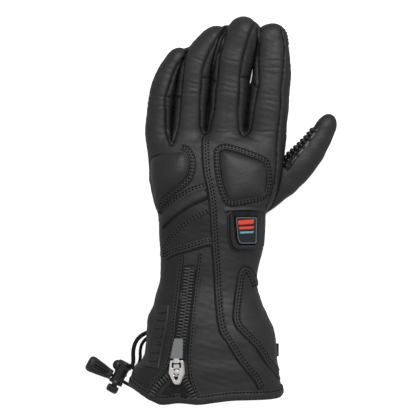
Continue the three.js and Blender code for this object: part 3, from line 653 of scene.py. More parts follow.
def surface_net(values: Array, origin: Array, cell: float) -> tuple[Array, Array]:
    """Meshes the zero surface of a grid of values.

    Args:
        values: The field on the grid, below zero inside.
        origin: The grid's first point.
        cell: The grid's pitch.

    Returns:
        The vertices, and the quads that join them, facing out.
    """
    inside = values < 0
    shape = np.array(inside.shape) - 1
    views = [
        inside[i : i + shape[0], j : j + shape[1], k : k + shape[2]] for i, j, k in product((0, 1), repeat=3)
    ]
    count = sum(view.astype(np.int8) for view in views)
    active = (count > 0) & (count < 8)
    number = np.full(active.shape, -1, np.int64)
    cells = np.argwhere(active)
    number[active] = np.arange(len(cells))
    total, crossings = np.zeros((len(cells), 3)), np.zeros(len(cells))
    for axis in range(3):
        step = np.eye(3, dtype=int)[axis]
        others = [np.eye(3, dtype=int)[k] for k in range(3) if k != axis]
        for i, j in product((0, 1), repeat=2):
            start = i * others[0] + j * others[1]
            a = values[tuple((cells + start).T)]
            b = values[tuple((cells + start + step).T)]
            cross = (a < 0) != (b < 0)
            with np.errstate(divide="ignore", invalid="ignore"):
                t = np.where(cross, a / (a - b), 0.0)
            total += np.where(cross[:, None], start + t[:, None] * step, 0.0)
            crossings += cross
    points = origin + cell * (cells + total / crossings[:, None])
    quads = []
    for axis in range(3):
        u, v = [np.eye(3, dtype=int)[(axis + k) % 3] for k in (1, 2)]
        low = [slice(1, None)] * 3
        high = [slice(1, None)] * 3
        low[axis], high[axis] = slice(None, -1), slice(1, None)
        a, b = inside[tuple(low)], inside[tuple(high)]
        for first, turned in ((a & ~b, False), (b & ~a, True)):
            at = np.argwhere(first) + 1
            at[:, axis] -= 1
            at = at[(at < shape).all(axis=1)]
            ring = np.stack([number[tuple((at - o).T)] for o in (u + v, v, 0 * u, u)], axis=1)
            quads.append(ring[:, ::-1] if turned else ring)
    faces = np.vstack(quads)
    return points, faces[(faces >= 0).all(axis=1)]


def vertex_normals(points: Array, faces: Array) -> Array:
    """Unit normals at the points of a mesh of quads."""
    a, b, c, d = (points[faces[:, k]] for k in range(4))
    across = np.cross(c - a, d - b)
    normals = np.zeros_like(points)
    for k in range(4):
        for axis in range(3):
            normals[:, axis] += np.bincount(faces[:, k], across[:, axis], len(points))
    return unit(normals)


def settle(points: Array, field_of: Callable[[Array], Array]) -> Array:
    """Moves points that are near the zero surface of a field onto it.

    Args:
        points: The points, in millimetres.
        field_of: The field.

    Returns:
        The moved points.
    """
    rounds, most, probe = 2, 0.5, 0.25
    for _ in range(rounds):
        here = field_of(points)
        steps = probe * np.eye(3)
        slope = np.column_stack([field_of(points + s) - field_of(points - s) for s in steps]) / (2 * probe)
        size = np.maximum((slope**2).sum(axis=1), 0.2)
        move = -here[:, None] * slope / size[:, None]
        length = np.linalg.norm(move, axis=1)
        move *= np.minimum(1.0, most / np.maximum(length, TINY))[:, None]
        points = points + move
    return points


class Cloth(NamedTuple):
    """A mesh in the making: points in millimetres, faces, and the points' normals if they aren't its own."""

    points: Array
    faces: Array
    normals: Array | None = None


def mesh_object(name: str, cloth: Cloth, material: Material) -> Thing:
    """Makes a smooth-shaded mesh object of one material, linked to the scene."""
    mesh = bpy.data.meshes.new(name)
    points, faces, normals = cloth.points, np.asarray(cloth.faces, np.int32), cloth.normals
    sides = faces.shape[1]
    mesh.vertices.add(len(points))
    mesh.vertices.foreach_set("co", (points * METRE).astype(np.float32).ravel())
    mesh.loops.add(faces.size)
    mesh.loops.foreach_set("vertex_index", faces.ravel())
    mesh.polygons.add(len(faces))
    mesh.polygons.foreach_set("loop_start", np.arange(0, faces.size, sides, dtype=np.int32))
    mesh.polygons.foreach_set("loop_total", np.full(len(faces), sides, np.int32))
    mesh.polygons.foreach_set("use_smooth", np.ones(len(faces), bool))
    mesh.update(calc_edges=True)
    mesh.validate()
    if normals is not None:
        mesh.normals_split_custom_set_from_vertices(normals.tolist())
    mesh.materials.append(material)
    made = bpy.data.objects.new(name, mesh)
    bpy.context.scene.collection.objects.link(made)
    return made


def part_of(whole: Cloth, keep: Array) -> Cloth:
    """The faces that are kept, with their points and normals."""
    chosen = whole.faces[keep]
    used, renumbered = np.unique(chosen, return_inverse=True)
    return Cloth(whole.points[used], renumbered.reshape(chosen.shape), whole.normals[used])


def seat(piece: Thing, body: Body, slot: str, *replaced: str) -> Thing:
    """Fastens a piece to its body and hides the nodes that it stands for."""
    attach(piece, body.value)
    if replaced:
        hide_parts(*replaced)
    return piece


# Finishes


class Nodes:
    """A material's node tree, with a principled shader at its end."""

    noise_span = (0.3, 0.7)

    def __init__(self, name: str) -> None:
        """Starts a material."""
        self.material = bpy.data.materials.new(name)
        self.material.use_nodes = True
        self.tree = self.material.node_tree
        self.shader = self.tree.nodes["Principled BSDF"]
        self.place = self.add("ShaderNodeTexCoord").outputs["Object"]

    def add(self, kind: str, inputs: dict[str, object] | None = None, **settings: object) -> bpy.types.Node:
        """Adds a node.

        Args:
            kind: The node's type.
            inputs: A value, or another node's output, for each input.
            settings: Values of the node's own properties.

        Returns:
            The node.
        """
        node = self.tree.nodes.new(kind)
        for key, value in settings.items():
            setattr(node, key, value)
        for key, value in (inputs or {}).items():
            if isinstance(value, Socket):
                self.tree.links.new(value, node.inputs[key])
            else:
                node.inputs[key].default_value = value
        return node

    def noise(self, size_mm: float, detail: float = 3.0, stretch: Place = (1, 1, 1)) -> Socket:
        """Cloudy noise with patches of a size."""
        spread = self.add("ShaderNodeMapping", {"Vector": self.place, "Scale": stretch}).outputs[0]
        inputs = {"Vector": spread, "Scale": 1 / (size_mm * METRE), "Detail": detail, "Roughness": 0.6}
        return self.add("ShaderNodeTexNoise", inputs).outputs["Fac"]

    def cells(self, size_mm: float) -> Socket:
        """Pebbles of a size, low at their edges."""
        inputs = {"Vector": self.place, "Scale": 1 / (size_mm * METRE)}
        return self.add("ShaderNodeTexVoronoi", inputs, feature="SMOOTH_F1").outputs["Distance"]

    def bump(self, height: Socket, depth_mm: float, below: Socket | None = None) -> Socket:
        """A bump of a depth, over another one if there is one."""
        inputs = {"Height": height, "Distance": depth_mm * METRE, "Strength": 1.0}
        if below is not None:
            inputs["Normal"] = below
        return self.add("ShaderNodeBump", inputs).outputs["Normal"]

    def between(self, share: Socket, low: float, high: float) -> Socket:
        """Spreads the middle of a noise over a range of numbers."""
        start, end = self.noise_span
        inputs = {"Value": share, "From Min": start, "From Max": end, "To Min": low, "To Max": high}
        return self.add("ShaderNodeMapRange", inputs).outputs["Result"]

    def shades(self, share: Socket, dark: Sequence[float], light: Sequence[float]) -> Socket:
        """Spreads the middle of a noise from one colour to another."""
        made = self.add("ShaderNodeValToRGB", {"Fac": share})
        for element, position, colour in zip(made.color_ramp.elements, self.noise_span, (dark, light)):
            element.position, element.color = position, (*colour, 1)
        return made.outputs["Color"]

    def finish(self, **inputs: object) -> Material:
        """Sets the shader's inputs, named with underscores for spaces, and gives the material."""
        for key, value in inputs.items():
            socket = self.shader.inputs[key.replace("_", " ")]
            if isinstance(value, Socket):
                self.tree.links.new(value, socket)
            else:
                socket.default_value = value
        return self.material


@dataclass(frozen=True)
class LeatherFinish:
    """Satin leather with a fine grain, soft creases and a little unevenness of dye."""

    name: str
    dark: Place = (0.014, 0.014, 0.015)
    light: Place = (0.024, 0.024, 0.026)
    rough_low: float = 0.42
    rough_high: float = 0.55
    grain_mm: float = 0.75
    grain_depth: float = 0.035
    crease_mm: float = 5.0
    crease_depth: float = 0.25

    def make(self) -> Material:
        """Builds the material."""
        nodes = Nodes(self.name)
        dye = nodes.noise(14, 4)
        folds = nodes.noise(self.crease_mm, 4, (0.7, 1.5, 1.0))
        grain = nodes.cells(self.grain_mm)
        fine = nodes.noise(self.grain_mm * 0.45, 2)
        bump = nodes.bump(folds, self.crease_depth)
        bump = nodes.bump(grain, self.grain_depth, bump)
        bump = nodes.bump(fine, self.grain_depth * 0.6, bump)
        return nodes.finish(
            Base_Color=nodes.shades(dye, self.dark, self.light),
            Roughness=nodes.between(nodes.noise(3.5, 3), self.rough_low, self.rough_high),
            Specular_IOR_Level=0.5,
            Normal=bump,
        )


@dataclass(frozen=True)
class ThreadFinish:
    """Black bonded thread, twisted."""

    name: str = "thread"
    colour: tuple[float, float, float, float] = (0.003, 0.003, 0.003, 1)

    def make(self) -> Material:
        """Builds the material."""
        nodes = Nodes(self.name)
        twist = nodes.noise(0.25, 2)
        return nodes.finish(
            Base_Color=self.colour, Roughness=nodes.between(twist, 0.5, 0.7), Specular_IOR_Level=0.12,
            Normal=nodes.bump(twist, 0.08),
        )


@dataclass(frozen=True)
class PlainFinish:
    """A moulded, painted or polished surface with a faint texture."""

    name: str
    colour: Place
    rough: float = 0.4
    metallic: float = 0.0
    grain_mm: float = 0.5
    grain_depth: float = 0.015

    def make(self) -> Material:
        """Builds the material."""
        nodes = Nodes(self.name)
        wear = nodes.noise(4, 3)
        return nodes.finish(
            Base_Color=(*self.colour, 1),
            Roughness=nodes.between(wear, self.rough * 0.85, min(1.0, self.rough * 1.2)),
            Metallic=self.metallic,
            Normal=nodes.bump(nodes.noise(self.grain_mm, 2), self.grain_depth),
        )


@dataclass(frozen=True)
class WeaveFinish:
    """Woven tape or braided cord."""

    name: str
    colour: Place = (0.011, 0.011, 0.012)
    rough: float = 0.75
    depth: float = 0.12
    thread_mm: float = 0.7
    bands_per_scale: float = 0.314

    def make(self) -> Material:
        """Builds the material."""
        nodes = Nodes(self.name)
        bump = None
        for way in ("X", "Y"):
            scale = self.bands_per_scale / (self.thread_mm * METRE)
            inputs = {"Vector": nodes.place, "Scale": scale, "Distortion": 1.2, "Detail": 1.0}
            wave = nodes.add("ShaderNodeTexWave", inputs, bands_direction=way)
            bump = nodes.bump(wave.outputs["Fac"], self.depth, bump)
        return nodes.finish(Base_Color=(*self.colour, 1), Roughness=self.rough, Normal=bump)


@dataclass(frozen=True)
class PaperFinish:
    """The plain pale floor."""

    name: str = "floor"

    def make(self) -> Material:
        """Builds the material."""
        nodes = Nodes(self.name)
        return nodes.finish(
            Base_Color=(0.86, 0.86, 0.86, 1), Roughness=0.9, Emission_Color=(1, 1, 1, 1),
            Emission_Strength=0.85,
        )


# Sewing: what is laid on the skin


@dataclass(frozen=True)
class Bench:
    """Where pieces are put together, with every finish by its name."""

    finishes: dict[str, Material]

    def add(self, name: str, cloth: Cloth, finish: str, slot: str, *nodes: str, body: Body = Body.GLOVE,
            sharp: float | None = None) -> Thing:
        """Makes a piece from a mesh, seats it and logs it.

        Args:
            name: The piece's name.
            cloth: Its mesh.
            finish: What it is made of.
            slot: The record's slot for its finish; not used.
            nodes: The nodes that it stands for.
            body: The body that it rides on.
            sharp: The angle in degrees over which an edge looks sharp, if any does.

        Returns:
            The piece.
        """
        piece = mesh_object(name, cloth, self.finishes[finish])
        if sharp is not None:
            piece.data.set_sharp_from_angle(angle=math.radians(sharp))
        LOG.info("%s: %d faces", name, len(cloth.faces))
        return seat(piece, body, slot, *nodes)


def grid_faces(rows: int, columns: int, around: bool = False, closed: bool = False) -> Array:
    """Quads of a grid of points.

    Args:
        rows: How many rows of points.
        columns: How many points a row has.
        around: Whether each row closes on itself.
        closed: Whether the last row joins the first.

    Returns:
        The quads.
    """
    i = np.arange(rows if closed else rows - 1)[:, None]
    j = np.arange(columns if around else columns - 1)[None, :]
    i, j = (v.ravel() for v in np.broadcast_arrays(i, j))
    i1, j1 = (i + 1) % rows, (j + 1) % columns
    return np.stack([i * columns + j, i * columns + j1, i1 * columns + j1, i1 * columns + j], axis=1)


def joined(parts: Sequence[Cloth]) -> Cloth:
    """Several meshes as one, in triangles where any part has them."""
    sides = min(part.faces.shape[1] for part in parts)
    points, faces, count = [], [], 0
    for part in parts:
        own = part.faces
        if own.shape[1] > sides:
            own = np.vstack([own[:, [0, 1, 2]], own[:, [0, 2, 3]]])
        points.append(part.points)
        faces.append(own + count)
        count += len(part.points)
    return Cloth(np.vstack(points), np.vstack(faces))


def directions(line: Array, closed: bool = False) -> Array:
    """Unit directions along a line of points."""
    if closed:
        way = np.roll(line, -1, axis=0) - np.roll(line, 1, axis=0)
    else:
        way = np.gradient(line, axis=0)
    return unit(way)


def steadied(line: Array, rounds: int) -> Array:
    """A line of points with its jitter smoothed away."""
    for _ in range(rounds):
        line = np.vstack([line[:1], (line[:-2] + 2 * line[1:-1] + line[2:]) / 4, line[-1:]])
    return line


def tube(line: Array, radius: float | Array, sides: int = 8, closed: bool = False) -> Cloth:
    """A round tube along a line in space, with pinched ends."""
    way = directions(line, closed)
    up = np.tile([0.0, 0.0, 1.0], (len(line), 1))
    up[np.abs(way[:, 2]) > 0.95] = (1.0, 0.0, 0.0)
    side = unit(np.cross(way, up))
    up = np.cross(side, way)
    radii = np.broadcast_to(np.asarray(radius, float), (len(line),)).copy()
    if not closed:
        radii[[0, -1]] *= 0.05
    angle = round_turn(sides)
    ring = np.cos(angle)[None, :, None] * side[:, None] + np.sin(angle)[None, :, None] * up[:, None]
    points = line[:, None] + ring * radii[:, None, None]
    return Cloth(points.reshape(-1, 3), grid_faces(len(line), sides, around=True, closed=closed))


@dataclass(frozen=True)
class Stitch:
    """One kind of sewn stitch.

    rings holds, for each ring of points, its share of the half length, its thickness and its height.
    """

    pitch: float = 2.9
    length: float = 1.8
    radius: float = 0.62
    sides: int = 6
    sink: float = 0.12
    probe: float = 0.6
    rings: tuple[Place, ...] = (
        (-1.0, 0.1, -0.6), (-0.72, 0.8, -0.1), (0.0, 1.0, 0.12), (0.72, 0.8, -0.1), (1.0, 0.1, -0.6),
    )

    def along(self, line: Array, normals: Array, closed: bool = False) -> Cloth:
        """Stitches in a row.

        Args:
            line: The row's points in space.
            normals: The skin's normals there.
            closed: Whether the row ends where it starts.

        Returns:
            The stitches as one mesh.
        """
        if closed:
            line, normals = np.vstack([line, line[:1]]), np.vstack([normals, normals[:1]])
        run = runs(line)
        count = max(1, int(run[-1] / self.pitch))
        at = (np.arange(count) + 0.5) * run[-1] / count
        middle, up = read_off(at, run, line), read_off(at, run, normals)
        way = unit(read_off(at + self.probe, run, line) - read_off(at - self.probe, run, line))
        side = unit(np.cross(way, up))
        up = np.cross(side, way)
        share, thick, dip = np.array(self.rings).T
        angle = round_turn(self.sides)
        across = np.outer(thick, np.cos(angle)).ravel() * self.radius
        over = np.outer(thick, np.sin(angle)).ravel() * self.radius
        dips = np.repeat(dip, self.sides) * self.radius
        form = np.stack([np.repeat(share * self.length / 2, self.sides), across, over + dips])
        basis = np.stack([way, side, up], axis=1)
        points = (middle - up * self.sink)[:, None] + np.einsum("km,nkd->nmd", form, basis)
        faces = grid_faces(len(share), self.sides, around=True)
        faces = faces[None] + (np.arange(count) * form.shape[1])[:, None, None]
        return Cloth(points.reshape(-1, 3), faces.reshape(-1, 4))


class Lap:
    """Profiles across a seam, from its edge outwards: how far out, and how high over the skin."""

    lapped: Profile = (
        (-0.5, -0.5), (0.0, -0.25), (0.25, 0.55), (0.7, 0.95), (1.3, 1.1), (2.0, 0.8), (2.6, 0.45),
        (3.2, 0.75), (3.9, 0.75), (4.5, 0.4), (5.1, 0.35), (5.9, 0.15), (6.6, -0.35),
    )
    rows: Pair = (2.6, 4.7)
    row_lift: float = 0.42
    piping: Profile = (
        (-1.5, -0.3), (-1.1, 0.3), (-0.5, 0.62), (0.0, 0.7), (0.5, 0.62), (1.1, 0.3), (1.5, -0.3),
    )
    plain: Profile = (
        (-0.9, -0.3), (-0.4, 0.25), (0.2, 0.4), (1.0, 0.3), (1.9, 0.42), (2.9, 0.3), (3.6, 0.3),
        (4.3, -0.3),
    )
    brow: Profile = (
        (-0.9, -0.3), (-0.6, 0.7), (-0.2, 1.2), (0.4, 1.4), (1.1, 1.2), (2.0, 0.6), (2.8, 0.2), (3.4, -0.3),
    )
    fold: Profile = (
        (-1.0, -0.6), (-0.7, 0.6), (-0.3, 1.7), (0.5, 2.35), (1.8, 2.6), (3.4, 2.45), (5.2, 1.9), (7.2, 1.1),
        (9.0, 0.45), (10.4, -0.3),
    )
    tuck: Profile = (
        (-0.8, -0.5), (-0.4, 0.5), (0.2, 1.2), (1.2, 1.55), (2.4, 1.35), (3.4, 0.9), (4.6, 0.95),
        (5.6, 0.5), (6.4, -0.3),
    )


@dataclass
class Skin:
    """The glove's leather surface as one mesh, which its panels are cut from."""

    form: GloveForm
    groove_depth: float = 1.0
    groove_width: float = 1.0
    puff: float = 0.5
    puff_reach: float = 3.4
    puff_end: float = 11.0
    side_level: float = 15.0
    reach: Place = (72, 162, 64)

    def __post_init__(self) -> None:
        """Meshes the form."""
        hand = self.form.hand
        side, tip, top = self.reach
        x = np.arange(-side, side, CELL)
        y = np.arange(hand.hem - 4, tip, CELL)
        z = np.arange(-2 * CELL, top, CELL)
        values = self.form.grid(x, y, z)
        points, self.faces = surface_net(values, np.array([x[0], y[0], z[0]]), CELL)
        self.points = settle(points, self.form.field)
        self.tree = BVHTree.FromPolygons(self.points.tolist(), self.faces.tolist())
        LOG.info("skin: %d points, %d faces", len(self.points), len(self.faces))

    def slope(self, points: Array) -> Array:
        """The skin's unit normals at points on it."""
        probe = 0.6
        steps = probe * np.eye(3)
        return unit(
            np.column_stack([self.form.field(points + s) - self.form.field(points - s) for s in steps]),
        )

    def cast(self, starts: Array, way: Place, drop: bool = False) -> Array:
        """Where rays meet the skin.

        Args:
            starts: Where the rays start.
            way: The way that they all head.
            drop: Whether rays that miss are left out. Otherwise they get the skin's nearest points.

        Returns:
            The places.
        """
        places = []
        guess = None
        for start in starts:
            place = self.tree.ray_cast(start, way)[0]
            if place is None:
                if drop:
                    continue
                near = np.where(np.array(way) == 0, start, self.side_level if guess is None else guess)
                place = self.tree.find_nearest(near)[0]
            places.append(place)
            guess = place
        return np.array(places).reshape(-1, 3)

    def drape(self, plan: Array) -> tuple[Array, Array]:
        """Lays plan points on the back: their places on the skin, and the skin's normals there."""
        places = self.cast(np.column_stack([plan, np.full(len(plan), OVER)]), DOWN)
        return places, self.slope(places)

    def band(self, path: Array, profile: Profile, closed: bool = False, fade: float = 0.0) -> Cloth:
        """A strip laid on the skin, with a profile across it.

        Args:
            path: The strip's line in the plan. Offsets are to its right.
            profile: Pairs of how far right of the line, and how high over the skin.
            closed: Whether the line ends where it starts.
            fade: How many of the line's last points sink into the skin.

        Returns:
            The strip.
        """
        way = directions(path, closed)
        side = np.column_stack([way[:, 1], -way[:, 0]])
        offsets = np.array([offset for offset, _ in profile])
        lifts = np.array([lift for _, lift in profile])
        plan = path[:, None] + side[:, None] * offsets[None, :, None]
        places, normals = self.drape(plan.reshape(-1, 2))
        left = np.arange(len(path))[::-1]
        share = smooth_step((left + 3) / (fade + 3)) if fade else np.ones(len(path))
        points = places + normals * np.outer(share, lifts).reshape(-1, 1)
        return Cloth(points, grid_faces(len(path), len(profile), closed=closed))

    def beside(self, path: Array, offset: float, lift: float, closed: bool = False) -> tuple[Array, Array]:
        """A line on the skin beside a line in the plan, and the skin's normals along it."""
        way = directions(path, closed)
        places, normals = self.drape(path + offset * np.column_stack([way[:, 1], -way[:, 0]]))
        return places + normals * lift, normals

    def row(self, path: Array, offset: float, lift: float, stitch: Stitch, closed: bool = False) -> Cloth:
        """A row of stitches beside a line in the plan."""
        return stitch.along(*self.beside(path, offset, lift, closed), closed)

    def shade_cord(self, path: Array, offset: float, lift: float, radius: float, closed: bool = False) -> Cloth:
        """A near-black cord of painted shade in a seam's fold, beside a line in the plan."""
        return tube(self.beside(path, offset, lift, closed)[0], radius, 6, closed)

    def cushion(self, outline: Array, rise: Callable[[Array, Array], Array], rings: int) -> Cloth:
        """A pad on the skin, from a closed outline.

        Args:
            outline: The outline in the plan.
            rise: The height over the skin, for how far points are from the outline and for the points.
            rings: How many rings of points there are from the outline to the middle.

        Returns:
            The pad.
        """
        middle = outline.mean(axis=0)
        crowding, last_share = 1.5, 0.015
        shares = 1 - np.linspace(0, 1, rings) ** crowding * (1 - last_share)
        plan = middle + shares[:, None, None] * (outline - middle)[None]
        flat = plan.reshape(-1, 2)
        away = np.sqrt(((flat[:, None] - outline[None]) ** 2).sum(axis=2)).min(axis=1)
        places, normals = self.drape(flat)
        points = places + normals * rise(away, flat)[:, None]
        points = np.vstack([points, points[-len(outline) :].mean(axis=0)])
        count, last = len(outline), (rings - 1) * len(outline)
        ring = grid_faces(rings, count, around=True)
        fan = np.array([[last + i, last + (i + 1) % count, len(points) - 1] for i in range(count)])
        faces = np.vstack([ring[:, [0, 1, 2]], ring[:, [0, 2, 3]], fan])
        return Cloth(points, faces)


def facing_up(cloth: Cloth) -> Cloth:
    """The same mesh with most of its faces turned upwards."""
    a, b, c = (cloth.points[cloth.faces[:, k]] for k in range(3))
    turned = np.cross(b - a, c - a)[:, 2].sum() < 0
    return Cloth(cloth.points, cloth.faces[:, ::-1] if turned else cloth.faces)


@dataclass
class Shell:
    """The leather panels of the hand, fingers and cuff, shaped and cut from the skin."""

    skin: Skin
    cuff_cut: float = -41.5
    wrist_panel: Points = (
        (150, 229), *SeamLines.lower_pleat[-2::-1], (211.2, 224), (213, 245), *SeamLines.wrist_seam[1:],
        (150, 262),
    )
    side_panel: Points = (*SeamLines.teardrop, (290, 286), (300, 340), (300, 381))
    index_strip_start: float = 14.0
    groove_shade_radius: float = 0.5
    # Each set of folds: its seed, wavelength, heading and spread
    slack: Sequence[float] = (3, 24, 80, 35)
    cuff_slack: Sequence[float] = (5, 26, 100, 45)
    fine: Sequence[float] = (8, 6, 85, 25)
    fold_depths: Place = (0.24, 0.3, 0.07)
    # Where the back meets the palm, at a finger's root and its tip
    finger_middles: Pair = (15.4, 12.0)

    def __post_init__(self) -> None:
        """Lays the seams of the fingers on the skin."""
        s = SeamLines
        lines = [(*left, fork[1], *right) for left, right, fork in s.between_fingers]
        self.seams: list[Array] = []
        for line in (*lines, s.index_right, *s.crosses):
            path = smooth_path(PLAN.at(line), 0.7)
            for height, way in ((OVER, DOWN), (UNDER, UP)):
                starts = np.column_stack([path, np.full(len(path), height)])
                self.seams.append(steadied(self.skin.cast(starts, way, drop=True), 4))
        self.seams.append(self.side_seam())

    def middle_height(self, y: Array) -> Array:
        """Where the back meets the palm."""
        hand = self.skin.form.hand
        body = (hand.top(y) - hand.flattening) / 2
        finger = mix(*self.finger_middles, np.clip((y - hand.forks) / 95, 0, 1))
        return mix(body, finger, smooth_step((y - hand.forks + 20) / 30))

    def side_seam(self) -> Array:
        """The seam along the little finger's side of the hand and finger."""
        y = np.arange(-140.0, 112.0, 1.0)
        starts = np.column_stack([np.full(len(y), -110.0), y, self.middle_height(y)])
        return steadied(self.skin.cast(starts, (1, 0, 0)), 12)

    def shaped(self) -> Cloth:
        """The skin with its seams, creases and soft folds."""
        skin, form = self.skin, self.skin.form
        points, faces = skin.points, skin.faces
        normals = vertex_normals(points, faces)
        outer = form.hand.field(*points.T) > -1.6
        outer |= points[:, 1] > form.cavity_end + 2
        away = Near(np.vstack(self.seams)).distance(points)
        depth = -skin.groove_depth * np.exp(-((away / skin.groove_width) ** 2))
        depth += skin.puff * smooth_step(away / skin.puff_reach) * np.exp(-((away / skin.puff_end) ** 2))
        x, y, z = points.T
        for digit in form.fingers.values():
            near = digit.near(x, y)
            depth[near] += self.creases(digit, points[near])
        depth += self.folds(points)
        depth = np.where(outer & (z > 0.4), depth, 0.0)
        moved = points + normals * depth[:, None]
        moved[:, 2] = np.maximum(moved[:, 2], 0.0)
        return Cloth(moved, faces, vertex_normals(moved, faces))

    @staticmethod
    def creases(digit: Digit, points: Array) -> Array:
        """Crosswise creases over a finger's joints."""
        t, across = digit.place(points[:, 0], points[:, 1])
        half, _ = digit.radii(t)
        on = (np.abs(across) < half * 1.05) & (points[:, 2] > digit.thickness * 0.45)
        total = np.zeros(len(points))
        groove_width, lip_height, lip_at, lip_width = 0.75, 0.25, 2.0, 1.3
        groove_depth, unevenness, bend, curl = 0.26, 0.09, 0.5, 0.2
        for i, at in enumerate(digit.creases):
            wander = bend * np.sin(across * 0.21 + 1.7 * i) + curl * np.sin(across * 0.47 + 2.3 * i)
            away = (t - at) * digit.length - wander
            strength = groove_depth + unevenness * math.sin(5.1 * i)
            total -= strength * np.exp(-((away / groove_width) ** 2))
            total += lip_height * strength * np.exp(-(((np.abs(away) - lip_at) / lip_width) ** 2))
        return np.where(on & (t > -0.05), total, 0.0)

    def folds(self, points: Array) -> Array:
        """Soft folds and slack over the hand and the cuff."""
        y = points[:, 1]
        on_cuff = smooth_step((-35 - y) / 30)
        slack, cuff, fine = self.fold_depths
        total = Ripples(*self.slack)(points) * slack
        total += Ripples(*self.cuff_slack)(points) * cuff * on_cuff
        return total + Ripples(*self.fine)(points) * fine

    def build(self, bench: Bench) -> None:
        """Cuts the skin into its panels and adds near-black cords of painted shade in the seams' grooves."""
        whole = self.shaped()
        points, faces = whole.points, whole.faces
        middle = points[faces].mean(axis=1)
        x, y, z = middle.T
        above = z > self.middle_height(y)
        owner = np.where(above, 0, 1)
        s = SeamLines
        for number, (left, right, fork) in enumerate(s.between_fingers, 2):
            floor = PLAN.at(fork)[1, 1]
            owner[(x > PLAN.across(left)(y)) & (x < PLAN.across(right)(y)) & (y > floor)] = number
        owner[(x > PLAN.across(s.index_right)(y)) & (y > self.index_strip_start)] = 5
        cuff = y < self.cuff_cut
        owner[cuff & above] = 6
        owner[cuff & ~above] = 7
        owner[cuff & above & (x < PLAN.across(s.zip_left_edge)(y))] = 8
        for number, outline in ((9, self.wrist_panel), (10, self.side_panel)):
            owner[above & inside_outline(middle[:, :2], smooth_path(PLAN.at(outline), 1.0))] = number
        panels = (
            ("hand_back", "back_leather"), ("hand_palm", "palm_leather"),
            ("fourchette_little_ring", "side_cloth"), ("fourchette_ring_middle", "side_cloth"),
            ("fourchette_middle_index", "side_cloth"), ("index_side_strip", "side_cloth"),
            ("cuff_back", "back_leather"), ("cuff_palm", "palm_leather"), ("zip_side", "back_leather"),
            ("wrist_panel", "back_leather"), ("cuff_side_panel", "back_leather"),
        )
        for number, (node, slot) in enumerate(panels):
            # The zip side and the wrist panel, on the glove's left, get a darker copy of the back leather:
            # painted shade.
            finish = "back_leather_painted_shade" if node in ("zip_side", "wrist_panel") else slot
            nodes = () if node == "zip_side" else (node,)
            bench.add(node + "_face", part_of(whole, owner == number), finish, slot, *nodes)
        shaped_tree = BVHTree.FromPolygons(points.tolist(), faces.tolist())
        # Near-black cords along the grooves' bottoms are painted shade.
        cords = []
        for line in self.seams:
            low = steadied(np.array([shaped_tree.find_nearest(p)[0] for p in line]), 3)
            cords.append(tube(low, self.groove_shade_radius, 6))
        made = joined(cords)
        made.points[:, 2] = np.maximum(made.points[:, 2], 0.1)
        bench.add("finger_groove_shade", made, "seam", "side_cloth")


# Digits set on by themselves


def digit_surface(digit: Digit, t: Array, angle: Array, grow: float | Array) -> Array:
    """Points on a digit's surface.

    Args:
        digit: The digit.
        t: How far along its spine, in lengths.
        angle: The angle about the spine, in degrees, 0 on its right and 90 on top.
        grow: How far out from the surface.

    Returns:
        The points.
    """
    t, angle, grow = np.broadcast_arrays(t, np.radians(angle), grow)
    x, y, heading = (np.interp(t, digit.t, v) for v in (digit.x, digit.y, digit.heading))
    half, deep = digit.radii(t)
    tip = np.maximum(t * digit.length - (digit.length - digit.tip_round), 0) / digit.tip_round
    dome = (1 - np.clip(tip, 0, 0.999) ** digit.power) ** (1 / digit.power)
    u, w = (np.sign(c) * np.abs(c) ** (2 / digit.power) for c in (np.cos(angle), np.sin(angle)))
    middle = mix(*digit.height, np.clip(t, 0, 1)) * digit.thickness
    half, deep = half * dome + grow, deep * dome + grow
    return np.stack(
        [x + u * half * np.cos(heading), y - u * half * np.sin(heading), middle + w * deep], axis=-1,
    )


